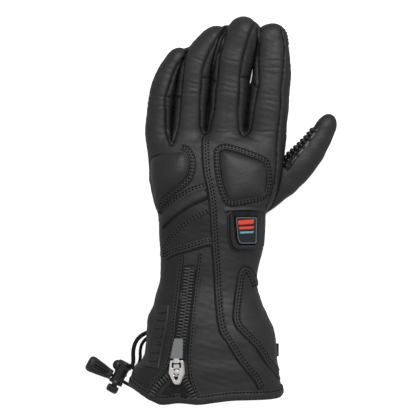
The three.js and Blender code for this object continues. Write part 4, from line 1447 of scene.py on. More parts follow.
@dataclass(frozen=True)
class GripPrint:
    """A raised grip patch with rows of dots.

    start and end are where it lies along a digit's spine, in lengths. sweep holds the angles about the
    spine that it covers, and narrowing is how many degrees later they start at its end.
    """

    start: float
    end: float
    sweep: Pair
    dot_pitch: float
    dot_radius: float
    narrowing: float = 0.0
    base_sink: float = 0.2
    base_rise: float = 0.9
    rows: int = 40
    columns: int = 22
    dome_rows: int = 4
    dome_sides: int = 8
    dome_height: float = 0.75
    row_share: float = 0.87
    margin: float = 0.06
    edge_reach: Pair = (14, 9)

    def angle(self, s: Array | float, a: Array | float) -> Array | float:
        """The angle about the spine for shares along and across the patch."""
        return mix(self.sweep[0] + self.narrowing * s, self.sweep[1], a)

    def base(self, digit: Digit) -> Cloth:
        """The patch without its dots."""
        s, a = np.linspace(0, 1, self.rows), np.linspace(0, 1, self.columns)
        along, across = (np.minimum(share, 1 - share) * far for share, far in zip((s, a), self.edge_reach))
        edge = np.minimum.outer(along, across)
        t = mix(self.start, self.end, s)[:, None]
        rise = -self.base_sink + self.base_rise * smooth_step(edge)
        made = digit_surface(digit, t, self.angle(s[:, None], a[None, :]), rise)
        return Cloth(made.reshape(-1, 3), grid_faces(self.rows, self.columns))

    def dot(self, digit: Digit, t: float, angle: float) -> Cloth:
        """One domed dot."""
        centre, over, on = (
            digit_surface(digit, np.array(at), np.array(angle), grow)
            for at, grow in ((t, 0.5), (t, 1.5), (t + 0.01, 0.5))
        )
        out, ahead = ((p - centre) / np.linalg.norm(p - centre) for p in (over, on))
        side = np.cross(out, ahead)
        lift = np.linspace(0, np.pi / 2, self.dome_rows)[:, None, None]
        turn = round_turn(self.dome_sides)[None, :, None]
        round_ = np.cos(turn) * ahead + np.sin(turn) * side
        ring = np.cos(lift) * round_ + self.dome_height * np.sin(lift) * out
        faces = grid_faces(self.dome_rows, self.dome_sides, around=True)
        return Cloth((centre + self.dot_radius * ring).reshape(-1, 3), faces)

    def on(self, digit: Digit) -> Cloth:
        """The patch and its dots as one mesh, on a digit."""
        parts = [self.base(digit)]
        arc = digit.thickness / 2 * math.radians(self.sweep[1] - self.sweep[0])
        along = int((self.end - self.start) * digit.length / (self.dot_pitch * self.row_share))
        across = max(2, int(arc / self.dot_pitch))
        for i, j in product(range(1, along), range(across)):
            share = (j + 0.5 + 0.5 * (i % 2)) / (across + 0.5)
            if self.margin < share < 1 - self.margin:
                at = mix(self.start, self.end, i / along)
                parts.append(self.dot(digit, at, self.angle(i / along, share)))
        return joined(parts)


@dataclass
class Thumb:
    """The thumb, set on under the hand's edge, with its raised grip patch."""

    form: GloveForm
    slack: float = 0.25
    thumb_print: GripPrint = GripPrint(0.34, 0.84, (98, 205), 4.6, 1.7, 26)
    index_print: GripPrint = GripPrint(0.79, 0.96, (-35, 30), 4.6 * 0.6, 1.7 * 0.5)

    def build(self, bench: Bench) -> None:
        """Meshes the thumb and its grip."""
        thumb = self.form.thumb
        x = np.arange(thumb.low[0], thumb.high[0], CELL)
        y = np.arange(thumb.low[1], thumb.high[1], CELL)
        z = np.arange(-CELL, 34, CELL)
        grid = np.stack(np.meshgrid(x, y, z, indexing="ij"), axis=-1)
        values = self.form.thumb_field(grid.reshape(-1, 3)).reshape(grid.shape[:3])
        points, faces = surface_net(values, np.array([x[0], y[0], z[0]]), CELL)
        points = settle(points, self.form.thumb_field)
        normals = vertex_normals(points, faces)
        depth = Shell.creases(thumb, points) + self.slack * Ripples(11, 14, 60, 40)(points)
        points = points + normals * depth[:, None]
        points[:, 2] = np.maximum(points[:, 2], 0.2)
        bench.add("thumb_panel", Cloth(points, faces), "back_leather", "back_leather", "thumb")
        for name, node, digit, print_ in (
            ("thumb_grip_print", "thumb_grip", thumb, self.thumb_print),
            ("index_tip_print", "index_tip_patch", self.form.fingers["index"], self.index_print),
        ):
            bench.add(name, print_.on(digit), "grip_rubber", "grip_rubber", node)


# Moulded and turned forms


@dataclass(frozen=True)
class Frame3:
    """A place on the back with its own right, ahead and up, in the order of the columns."""

    origin: Array
    basis: Array

    @classmethod
    def on(cls, origin: Sequence[float], normal: Sequence[float]) -> Frame3:
        """A frame whose up is a normal, and whose right has no part along Y."""
        up = np.asarray(normal, float) / np.linalg.norm(normal)
        across = np.array([up[2], 0.0, -up[0]])
        across /= np.linalg.norm(across)
        return cls(np.asarray(origin, float), np.column_stack([across, np.cross(up, across), up]))

    def at(self, points: Array) -> Array:
        """Points of the frame in the glove's own."""
        return self.origin + np.asarray(points, float) @ self.basis.T


def inset_outline(outline: Array, by: float) -> Array:
    """A closed outline with its edge moved in, where the outline runs anticlockwise."""
    before, after = outline - np.roll(outline, 1, axis=0), np.roll(outline, -1, axis=0) - outline
    normals = []
    for way in (before, after):
        way = unit(way)
        normals.append(np.column_stack([-way[:, 1], way[:, 0]]))
    middle = normals[0] + normals[1]
    middle /= np.maximum((middle * normals[0]).sum(axis=1), 0.35)[:, None]
    return outline + by * middle


def anticlockwise(outline: Array) -> Array:
    """The same outline, run anticlockwise."""
    x, y = outline.T
    area = (x * np.roll(y, -1) - np.roll(x, -1) * y).sum()
    return outline if area > 0 else outline[::-1]


def rounded(corners: Points, radius: float, steps: int = 4) -> Array:
    """A closed outline with its corners rounded, run anticlockwise."""
    corners = anticlockwise(np.asarray(corners, float))
    made = []
    for i, corner in enumerate(corners):
        back, on = corners[i - 1] - corner, corners[(i + 1) % len(corners)] - corner
        reach = min(radius, 0.45 * np.linalg.norm(back), 0.45 * np.linalg.norm(on))
        a, b = (corner + way / np.linalg.norm(way) * reach for way in (back, on))
        for t in np.linspace(0, 1, steps + 1):
            made.append((1 - t) ** 2 * a + 2 * t * (1 - t) * corner + t**2 * b)
    return np.array(made)


def slab(outline: Array, levels: Profile, frame: Frame3, holes: Sequence[Array] = ()) -> Cloth:
    """A plate on an outline, with its edges shaped by levels.

    Args:
        outline: The outline in the frame.
        levels: Pairs of a height and how far the edge is moved in there, from low to high.
        frame: Where the plate lies.
        holes: Outlines that are cut through it.

    Returns:
        The plate, in triangles.
    """
    loops = [anticlockwise(outline)] + [anticlockwise(hole) for hole in holes]
    parts, caps = [], []
    for number, loop in enumerate(loops):
        way = 1 if number == 0 else -1
        rings = [np.column_stack([inset_outline(loop, way * by), np.full(len(loop), z)]) for z, by in levels]
        faces = grid_faces(len(rings), len(loop), around=True)
        parts.append(Cloth(frame.at(np.vstack(rings)), faces[:, ::way]))
        caps.append(rings)
    for level, way in ((0, -1), (-1, 1)):
        loops3 = [rings[level] for rings in caps]
        triangles = tessellate_polygon([[Vector(p) for p in loop] for loop in loops3])
        points = np.vstack(loops3)
        faces = np.array(triangles)
        a, b, c = (points[faces[:, k]] for k in range(3))
        flip = np.cross(b - a, c - a)[:, 2] * way < 0
        faces[flip] = faces[flip][:, ::-1]
        parts.append(Cloth(frame.at(points), faces))
    return joined(parts)


def lathe(profile: Profile, origin: Sequence[float], axis: Sequence[float], sides: int = 40, flutes: int = 0,
          flute_depth: Callable[[Array], Array] | None = None) -> Cloth:
    """A form turned about an axis.

    Args:
        profile: Pairs of how far along the axis, and the radius there.
        origin: Where the axis starts.
        axis: The way it heads.
        sides: How many points go round.
        flutes: How many flutes go round, if any.
        flute_depth: The flutes' depth for places along the axis.

    Returns:
        The form.
    """
    way = np.asarray(axis, float) / np.linalg.norm(axis)
    side = np.cross(way, (0.0, 0.0, 1.0) if abs(way[2]) < 0.9 else (1.0, 0.0, 0.0))
    side /= np.linalg.norm(side)
    up = np.cross(side, way)
    along, radius = np.asarray(profile, float).T
    angle = round_turn(sides)
    radii = np.repeat(radius[:, None], sides, axis=1)
    if flutes:
        radii -= flute_depth(along)[:, None] * (0.5 - 0.5 * np.cos(flutes * angle))[None] ** 2
    ring = np.cos(angle)[:, None] * side + np.sin(angle)[:, None] * up
    points = np.asarray(origin) + along[:, None, None] * way + radii[..., None] * ring[None]
    return Cloth(points.reshape(-1, 3), grid_faces(len(along), sides, around=True))


def copies(form: Cloth, places: Array, basis: Array) -> Cloth:
    """A small form repeated.

    Args:
        form: The form about its own origin.
        places: Where each copy goes.
        basis: Each copy's right, ahead and up, as rows.

    Returns:
        The copies as one mesh.
    """
    points = places[:, None] + np.einsum("mk,nkd->nmd", form.points, basis)
    faces = form.faces[None] + (np.arange(len(places)) * len(form.points))[:, None, None]
    return Cloth(points.reshape(-1, 3), faces.reshape(-1, form.faces.shape[1]))


# Pads, pleats and seams of the back


@dataclass(frozen=True)
class PadShape:
    """One padded face: its outline in pixels, how high it stands, and how soon it gets there."""

    outline: Points
    height: float
    shoulder: float
    crown: float


@dataclass
class Back:
    """The pads, pleats and sewn seams on the back of the hand and the cuff."""

    skin: Skin
    bench: Bench
    stitch: Stitch = field(default_factory=Stitch)
    knuckle: PadShape = PadShape(
        ((219.5, 154), (221, 150.8), (225, 149.8), (230, 150.5), (240, 153.5), (250, 157), (258, 160),
         (263.5, 163), (266.2, 168), (267, 178), (266, 188), (264, 194), (259, 196.5), (250, 198),
         (240, 199.8), (232, 200.6), (228.5, 199), (226.5, 195), (224, 188), (221.5, 178), (220, 168)),
        3.4, 3.0, 0.8,
    )
    side: PadShape = PadShape(
        ((149.2, 165), (150.2, 159), (154, 155.5), (163, 153), (172, 151), (180, 150), (185, 151.5),
         (188.5, 156), (190.3, 163), (189.5, 171), (186.5, 178), (180, 184), (171, 190.5), (163, 198),
         (157.2, 205.5), (153.6, 200), (151.4, 190), (149.6, 178)),
        3.4, 4.0, 0.8,
    )
    pad_sink: float = 0.5
    shoulder_power: float = 1.3
    crown_reach: float = 16
    ripple: float = 0.07
    ripple_reach: float = 5
    soft_waves: Sequence[float] = (21, 13, 70, 80)
    pad_rings: int = 22
    row_lift: float = 0.65
    border: Profile = (
        (-0.9, -0.8), (-0.35, -0.75), (0.0, -0.1), (0.3, 0.6), (0.7, 0.8), (1.1, 0.6), (1.5, 0.42),
        (2.1, 0.62), (2.6, 0.62), (3.1, 0.4), (3.6, 0.55), (4.1, 0.5), (4.6, -0.4),
    )
    border_rows: Pair = (1.5, 3.3)
    side_border: Points = ((156.4, 207), *side.outline[13:5:-1], (180.5, 149.8))
    centre: Points = (
        (258.5, 388), (254, 379), (247, 371), (240, 362), (232, 350), (226, 340), (221, 333), (218.5, 325),
        (217, 315), (215.5, 300), (214.5, 280), (213.9, 269), (212.2, 247), (211.7, 235), (211, 224),
        (210.3, 213), (209.5, 202), (206.7, 185.5), (204.2, 174), (203, 163), (202.4, 150), (202.6, 140),
        (204, 136.5),
    )
    upper_pleat: Points = ((206.5, 190), (198, 192.5), (190, 196), (180, 202), (170, 210), (163.5, 217))
    wrist_line: Points = (
        (209.5, 213), (203, 216), (196, 219.5), (188, 225), (181, 230.5), (175, 236.5), (169, 244),
        (165, 252), (163, 258),
    )
    control_seam: Points = ((265, 211.2), (256, 210.6), (244, 210.4), (232, 210.8), (224, 211.4))
    control_side: Points = ((264.2, 211), (264.4, 222), (264, 234), (263, 246))

    def cushion(self, name: str, shape: PadShape, border: Points | None = None) -> None:
        """Builds a padded face and its double-stitched border, all round it or along a line of its own.

        Args:
            name: The pad's node and finish.
            shape: Its form.
            border: The border's line in pixels, or None where it goes all round.
        """
        outline = anticlockwise(smooth_path(PLAN.at(shape.outline), 1.0, closed=True))
        ring = border is None
        line = outline if ring else smooth_path(PLAN.at(border), 1.0)
        soft = Ripples(*self.soft_waves)

        def rise(away: Array, plan: Array) -> Array:
            """The pad's height over the skin."""
            full = shape.height * (1 - np.exp(-((away / shape.shoulder) ** self.shoulder_power)))
            crown = shape.crown * smooth_step(away / self.crown_reach)
            ripple = self.ripple * soft(plan) * smooth_step(away / self.ripple_reach)
            return -self.pad_sink + full + crown + ripple

        made = facing_up(self.skin.cushion(outline, rise, self.pad_rings))
        # Each pad gets its own copy of the pad leather: the knuckle pad's is lighter, painted light, and the
        # side pad's darker, painted shade.
        self.bench.add(name + "_face", made, name, "pad_leather", name)
        made = facing_up(self.skin.band(line, self.border, closed=ring))
        self.bench.add(name + "_border_band", made, "back_leather", "back_leather", name + "_border")
        rows = [self.skin.row(line, out, self.row_lift, self.stitch, closed=ring) for out in self.border_rows]
        self.bench.add(name + "_stitches", joined(rows), "thread", "back_leather")
        # Near-black cords of painted shade along the pad's edge and the border's outer edge.
        folds = [
            self.skin.shade_cord(outline, -0.3, 0.0, 0.5, closed=True),
            self.skin.shade_cord(line, 4.6, 0.0, 0.45, closed=ring),
        ]
        self.bench.add(name + "_shade_cords", joined(folds), "seam", "back_leather")

    def seam(self, name: str, pixels: Points, profile: Profile, rows: Profile, *nodes: str,
             shade_cord: float = 0.65, fade: float = 0.0) -> None:
        """Builds a lapped seam with stitches.

        Args:
            name: The seam's name.
            pixels: Its edge in pixels. The lap lies to its right.
            profile: Its section.
            rows: For each row of stitches, how far right of the edge, and how high over the skin.
            nodes: The nodes that it stands for.
            shade_cord: The radius of the near-black cord of painted shade in its edge, or 0 for none.
            fade: How much of the lap's end sinks into the skin, in millimetres.
        """
        path = smooth_path(PLAN.at(pixels), 1.0)
        made = facing_up(self.skin.band(path, profile, fade=fade))
        self.bench.add(name, made, "back_leather", "back_leather", *nodes)
        # A near-black cord of painted shade in the lap's edge.
        if shade_cord:
            fold = self.skin.shade_cord(path, 0.25 - shade_cord, 0.05, shade_cord)
            self.bench.add(name + "_shade_cord", fold, "seam", "back_leather")
        if rows:
            made = joined([self.skin.row(path, offset, lift + 0.15, self.stitch) for offset, lift in rows])
            self.bench.add(name + "_stitches", made, "thread", "back_leather")

    def build(self) -> None:
        """Builds everything sewn on the back."""
        self.cushion("knuckle_pad", self.knuckle)
        self.cushion("side_pad", self.side, self.side_border)
        lapped_rows = [(offset, Lap.row_lift) for offset in Lap.rows]
        self.seam("centre_seam", self.centre, Lap.lapped, lapped_rows, "centre_seam_strip")
        self.seam("cuff_panel_seam", SeamLines.teardrop, Lap.lapped, lapped_rows, fade=10)
        self.seam(
            "upper_pleat_tuck", self.upper_pleat, Lap.tuck, [(3.4, 0.95), (5.2, 0.75)], "upper_pleat",
            fade=6,
        )
        # The lower pleat's thick near-black cord is painted shadow under its fold.
        self.seam(
            "lower_pleat_fold", SeamLines.lower_pleat, Lap.fold, [], "lower_pleat", shade_cord=1.25, fade=13,
        )
        self.seam("wrist_line_seam", self.wrist_line, Lap.plain, [(0.9, 0.3), (3.0, 0.3)], shade_cord=0)
        self.seam("wrist_fold_seam", SeamLines.wrist_seam, Lap.lapped, lapped_rows, "wrist_fold", fade=8)
        self.seam("control_seam", self.control_seam, Lap.brow, [], fade=8)
        self.seam("control_side_seam", self.control_side, Lap.piping, [])


# The heating control


@dataclass
class Control:
    """The moulded housing and its push button, with a plain level mark."""

    bench: Bench
    normal: Place = (0.2704, -0.0099, 0.9627)
    button_top: Place = (27.50, -24.34, 46.19)
    shift: Pair = (1.6, 1.0)
    housing_size: Pair = (25.4, 31.4)
    housing_height: float = 4.6
    button_size: Pair = (18.7, 22.0)
    button_proud: float = 0.8
    rim_width: float = 0.75
    housing_corners: Points = (
        (-0.98, 0.86), (-0.94, -0.3), (-0.8, -0.78), (-0.5, -1.0), (0.84, -0.97), (0.98, -0.5), (1, 0.35),
        (0.94, 1), (-0.86, 1),
    )
    button_corners: Points = ((-0.98, 1), (0.98, 1), (0.96, -0.88), (0.84, -1), (-0.58, -1), (-0.8, -0.6))
    bars: tuple[tuple[str, float, float, float, float], ...] = (
        ("mark_warm", -6.7, 6.0, 4.6, 8.2),
        ("mark_warm", -6.0, 6.0, 0.8, 3.0),
        ("mark_cool", -5.2, 5.8, -2.6, -1.0),
    )

    def build(self) -> None:
        """Builds the housing and the button."""
        frame = Frame3.on(self.button_top, self.normal)
        deep = self.housing_height + self.button_proud
        base = Frame3(frame.at([-self.shift[0], -self.shift[1], -deep]), frame.basis)
        outline = rounded(np.array(self.housing_corners) * np.array(self.housing_size) / 2, 3.2)
        inner = rounded(np.array(self.button_corners) * np.array(self.button_size) / 2, 1.6)
        well = inset_outline(inner, -0.35) + np.array(self.shift)
        high = self.housing_height
        shape = (
            (-1.5, 0.0), (0.8, 0.05), (high - 1.3, 0.5), (high - 0.5, 0.85), (high - 0.12, 1.4),
            (high, 2.1),
        )
        block = slab(outline, shape, base, [well])
        self.bench.add("control_housing", block, "moulding", "moulding", "button_housing", sharp=50)
        flange = slab(inset_outline(outline, -0.9), ((0.2, 0.0), (0.9, 0.15), (1.15, 0.7)), base)
        self.bench.add("control_flange", flange, "back_leather", "moulding", sharp=50)
        # A near-black plate of painted shadow at the housing's top, where the leather flap above shades it.
        slot = slab(rounded([(-11, 12.2), (11.6, 12.2), (11.2, 16.6), (-9.6, 16.6)], 1.2),
                    ((high - 1.5, 0.0), (high + 0.25, 0.1), (high + 0.5, 0.7)), base)
        self.bench.add("control_flap_shadow", slot, "seam", "moulding", sharp=50)
        top = slab(inner, ((-2.3, 0.1), (-0.25, 0.0), (-0.06, 0.12), (-0.12, 0.5)), frame)
        self.bench.add("button_body", top, "button_plastic", "button_plastic", "heat_button",
                       body=Body.BUTTON, sharp=50)
        edge = inset_outline(inner, 0.16)
        rim = slab(
            edge, ((-0.3, 0.0), (0.0, 0.08), (0.02, 0.2)), frame, [inset_outline(edge, self.rim_width)],
        )
        self.bench.add("button_rim", rim, "rim", "button_plastic", body=Body.BUTTON, sharp=50)
        for number, (finish, x0, x1, y0, y1) in enumerate(self.bars):
            slant = 0.28 * (y1 - y0)
            corners = [(x0, y0), (x1, y0 + slant), (x1 + 0.9, y1 + slant), (x0 - 0.4, y1)]
            bar = slab(rounded(corners, 0.5), ((-0.2, 0.0), (-0.05, 0.05)), frame)
            self.bench.add(
                f"level_bar_{number + 1}", bar, finish, "button_plastic", body=Body.BUTTON, sharp=50,
            )


# The zip


@dataclass
class Zip:
    """The cuff's zip: tape, teeth, slider and pull."""

    skin: Skin
    bench: Bench
    stitch: Stitch = field(default_factory=Stitch)
    chain: Points = (
        (189.7, 268.5), (188.6, 280), (187.4, 295), (185.2, 313), (182.6, 331), (180.2, 347), (178.6, 359),
    )
    left_chain: Points = ((174.5, 373), (170, 376.5), (164.5, 381), (160, 385.5), (156.5, 391), (155, 394))
    right_chain: Points = ((181.5, 374), (184, 379), (186.5, 384), (189, 389), (191.5, 394), (192.5, 397))
    right_edge: Points = (
        (198, 395.5), (194.5, 389), (191, 380), (189, 370), (188.4, 358), (189, 346), (190.3, 333),
        (191.8, 315), (194.2, 295), (196.6, 275), (198, 264), (199.2, 252.5),
    )
    gusset: Points = (
        (178.5, 376), (174, 379.5), (168, 385), (162.5, 391.5), (160.5, 396.5), (166, 399), (176, 400),
        (185, 398.5), (188, 394), (185, 387.5), (182, 381),
    )
    recess: Points = (
        (182, 381), (184.5, 385), (187, 391), (188.5, 396.5), (184, 398.5), (178.5, 398.5), (180, 393),
        (181, 387),
    )
    tape_width: float = 12.6
    chain_top: Points = ((183.5, 266), (190, 265.2), (196.5, 265.2))
    pitch: float = 1.32
    tooth_reach: float = 4.0
    lip: Profile = (
        (-0.7, -0.2), (-0.25, 0.1), (0.0, 0.6), (0.35, 0.95), (0.8, 1.0), (1.3, 0.7), (1.8, 0.45),
        (2.3, 0.6), (2.9, 0.5), (3.6, 0.2), (4.3, -0.3),
    )
    slider_normal: Place = (-0.1278, 0.1048, 0.9862)
    slider_origin: Place = (-29.48, -141.08, 56.04)
    slider_size: Pair = (13.3, 20.0)
    slider_corners: Points = ((-0.84, 1), (0.84, 1), (1, -0.1), (0.42, -1), (-0.3, -1), (-1, -0.1))
    slider_levels: Pair = (1.2, 5.4)
    pull_corners: Points = ((-0.4, 1), (0.98, 1), (0.98, -1), (-1, -1))
    pull_size: Pair = (10.4, 16.4)
    pull_middle: float = 19.4
    pull_base: float = 3.9
    pull_top: float = 6.5

    def tooth(self) -> Cloth:
        """One tooth, which reaches along its own right from past the middle."""
        section = np.array([(-0.66, 0), (-0.58, 0.85), (-0.3, 1.25), (0.3, 1.25), (0.58, 0.85), (0.66, 0)])
        stations = (
            (-0.8, 0.6), (-0.4, 0.9), (0.9, 0.9), (1.7, 1.3), (self.tooth_reach - 0.6, 1.3),
            (self.tooth_reach, 0.9),
        )
        points = [[(x, s[0] * k, s[1] * (0.6 + 0.4 * min(k, 1.0))) for s in section] for x, k in stations]
        count = len(section)
        faces = grid_faces(len(stations), count)
        ends = []
        for start, way in ((0, -1), ((len(stations) - 1) * count, 1)):
            ends += [
                [start, start + 1, start + 4, start + 5][::way],
                [start + 1, start + 2, start + 3, start + 4][::way],
            ]
        return Cloth(np.array(points).reshape(-1, 3), np.vstack([faces, np.array(ends)]))

    def teeth(self, pixels: Points, sides: Sequence[int], lift: float) -> Cloth:
        """Teeth along a line.

        Args:
            pixels: The line in pixels.
            sides: The sides that they come from in turn, 1 for the line's right and -1 for its left.
            lift: Their height over the skin.

        Returns:
            The teeth as one mesh.
        """
        path = smooth_path(PLAN.at(pixels), self.pitch * 2 / len(sides))
        places, normals = self.skin.drape(path)
        way = directions(places)
        side = unit(np.cross(way, normals))
        turn = np.resize(np.array(sides, float), len(path))[:, None]
        basis = np.stack([side * turn, way * turn, normals], axis=1)
        return copies(self.tooth(), places + normals * lift, basis)

    def slider(self) -> None:
        """Builds the chromed slider and its pull."""
        frame = Frame3.on(self.slider_origin, self.slider_normal)
        outline = rounded(np.array(self.slider_corners) * np.array(self.slider_size) / 2, 1.5)
        window = rounded([(-3.9, 3.7), (3.9, 3.7), (3.7, 7.9), (-3.7, 7.9)], 0.5, 3)
        turn = round_turn(24)
        ring = np.column_stack([0.2 + 3.1 * np.cos(turn), 0.2 + 3.1 * np.sin(turn)])
        low, high = self.slider_levels
        foot = rounded([(-1.3, -6.2), (1.0, -6.2), (1.6, -3.2), (-1.8, -3.2)], 0.5, 2)
        plate = slab(outline, ((low, 0.3), (low + 0.3, 0.0), (high - 2.4, 0.0), (high - 2.0, 0.3)), frame)
        edge = inset_outline(outline, 0.25)
        cover = slab(
            edge, ((high - 2.0, 0.0), (high - 0.5, 0.0), (high - 0.12, 0.2), (high, 0.6)), frame,
            [window, ring, foot],
        )
        bridge = slab(rounded([(-2.3, 3.2), (2.3, 3.2), (2.3, 6.4), (-2.3, 6.4)], 0.5, 3),
                      ((high - 2.2, 0.0), (high - 0.3, 0.0), (high, 0.4)), frame)
        rivet = lathe(
            ((0, 2.2), (0.5, 2.2), (0.9, 1.9), (1.15, 1.2), (1.2, 0.02)), frame.at([0.2, 0.2, high - 0.3]),
            frame.basis[:, 2], 24,
        )
        arms = [
            slab(rounded([(x - 0.8, -2.4), (x + 0.8, -2.4), (x + 1.0, 2.2), (x - 0.6, 2.2)], 0.4, 2),
                 ((high - 0.3, 0.0), (high + 0.35, 0.05), (high + 0.6, 0.4)), frame)
            for x in (-2.9, 2.9)
        ]
        made = joined([plate, cover, bridge, rivet, *arms])
        self.bench.add("slider_body", made, "chrome", "chrome", "zip_slider", sharp=35)
        # A near-black plate of painted shade inside the slider, seen through the cover's holes.
        inside = slab(inset_outline(outline, 1.2), ((high - 2.2, 0.0), (high - 1.9, 0.0)), frame)
        self.bench.add("slider_inside_shade", inside, "seam", "chrome", sharp=35)
        grip = rounded(
            np.array(self.pull_corners) * np.array(self.pull_size) / 2 + np.array([0, self.pull_middle]),
            0.8,
        )
        base, top = self.pull_base, self.pull_top
        tab = slab(
            grip, ((base, 0.5), (base + 0.4, 0.0), (top - 0.5, 0.0), (top - 0.12, 0.2), (top, 0.6)), frame,
        )
        self.bench.add("pull_tab", tab, "pull_rubber", "pull_rubber", "zip_pull", body=Body.PULL, sharp=40)
        tongue = slab(rounded([(-2.2, 7.4), (2.2, 7.4), (2.2, 12.2), (-2.2, 12.2)], 0.6, 3),
                      ((base + 0.3, 0.0), (top - 0.6, 0.0), (top - 0.3, 0.3)), frame)
        self.bench.add("pull_tongue", tongue, "chrome", "chrome", body=Body.PULL, sharp=40)

    def build(self) -> None:
        """Builds the zip."""
        # A near-black cord of painted shade at the top of the chain.
        top = self.skin.shade_cord(smooth_path(PLAN.at(self.chain_top), 1.0), 0, 0.6, 0.5)
        self.bench.add("zip_top_shade_cord", top, "seam", "tape_cloth")
        path = smooth_path(PLAN.at(self.chain), 1.0)
        half = self.tape_width / 2
        tape = self.skin.band(path, ((-half, 0.3), (-4, 0.35), (0, 0.3), (4, 0.35), (half, 0.3)))
        self.bench.add("tape", facing_up(tape), "tape_cloth", "tape_cloth", "zip_tape")
        closed = self.teeth(self.chain, (1, -1), 0.45)
        self.bench.add("chain_teeth", closed, "zip_plastic", "zip_plastic", "zip_chain", sharp=45)
        for side, pixels, hand in (("left", self.left_chain, 1), ("right", self.right_chain, -1)):
            line = smooth_path(PLAN.at(pixels), 1.0)
            strip = self.skin.band(line, [(offset * hand, 0.6) for offset in (-0.6, 0.6, 3.6)][::hand])
            self.bench.add(f"open_tape_{side}", facing_up(strip), "tape_cloth", "tape_cloth")
            made = self.teeth(pixels, (hand,), 0.9)
            self.bench.add(f"open_teeth_{side}", made, "zip_plastic", "zip_plastic",
                           "zip_chain_" + side, sharp=45)
        for side, pixels in (("left", SeamLines.zip_left_edge), ("right", self.right_edge)):
            line = smooth_path(PLAN.at(pixels), 1.0)
            lip = facing_up(self.skin.band(line, self.lip))
            self.bench.add(f"zip_lip_{side}", lip, "back_leather", "back_leather")
            row = self.skin.row(line, 1.8, 0.5, self.stitch)
            self.bench.add(f"zip_lip_{side}_stitches", row, "thread", "back_leather")
            # A near-black cord of painted shade along the lip's edge.
            shade_cord = self.skin.shade_cord(line, -0.3, 0.3, 0.5)
            self.bench.add(f"zip_lip_{side}_shade_cord", shade_cord, "seam", "back_leather")
        outline = anticlockwise(smooth_path(PLAN.at(self.gusset), 1.0, closed=True))
        pucker = Ripples(41, 7, 20, 30)
        made = self.skin.cushion(
            outline, lambda away, plan: 0.35 + 0.5 * smooth_step(away / 3) * (1 + pucker(plan)), 12
        )
        self.bench.add("zip_gusset", facing_up(made), "gusset", "tape_cloth")
        # A near-black patch of painted shade in the recess by the open end of the chain.
        outline = anticlockwise(smooth_path(PLAN.at(self.recess), 1.0, closed=True))
        dark = self.skin.cushion(outline, lambda away, plan: 0.6 + 0.9 * smooth_step(away / 2), 6)
        self.bench.add("zip_recess_shade", facing_up(dark), "seam", "tape_cloth")
        self.slider()


# The cuff's trim


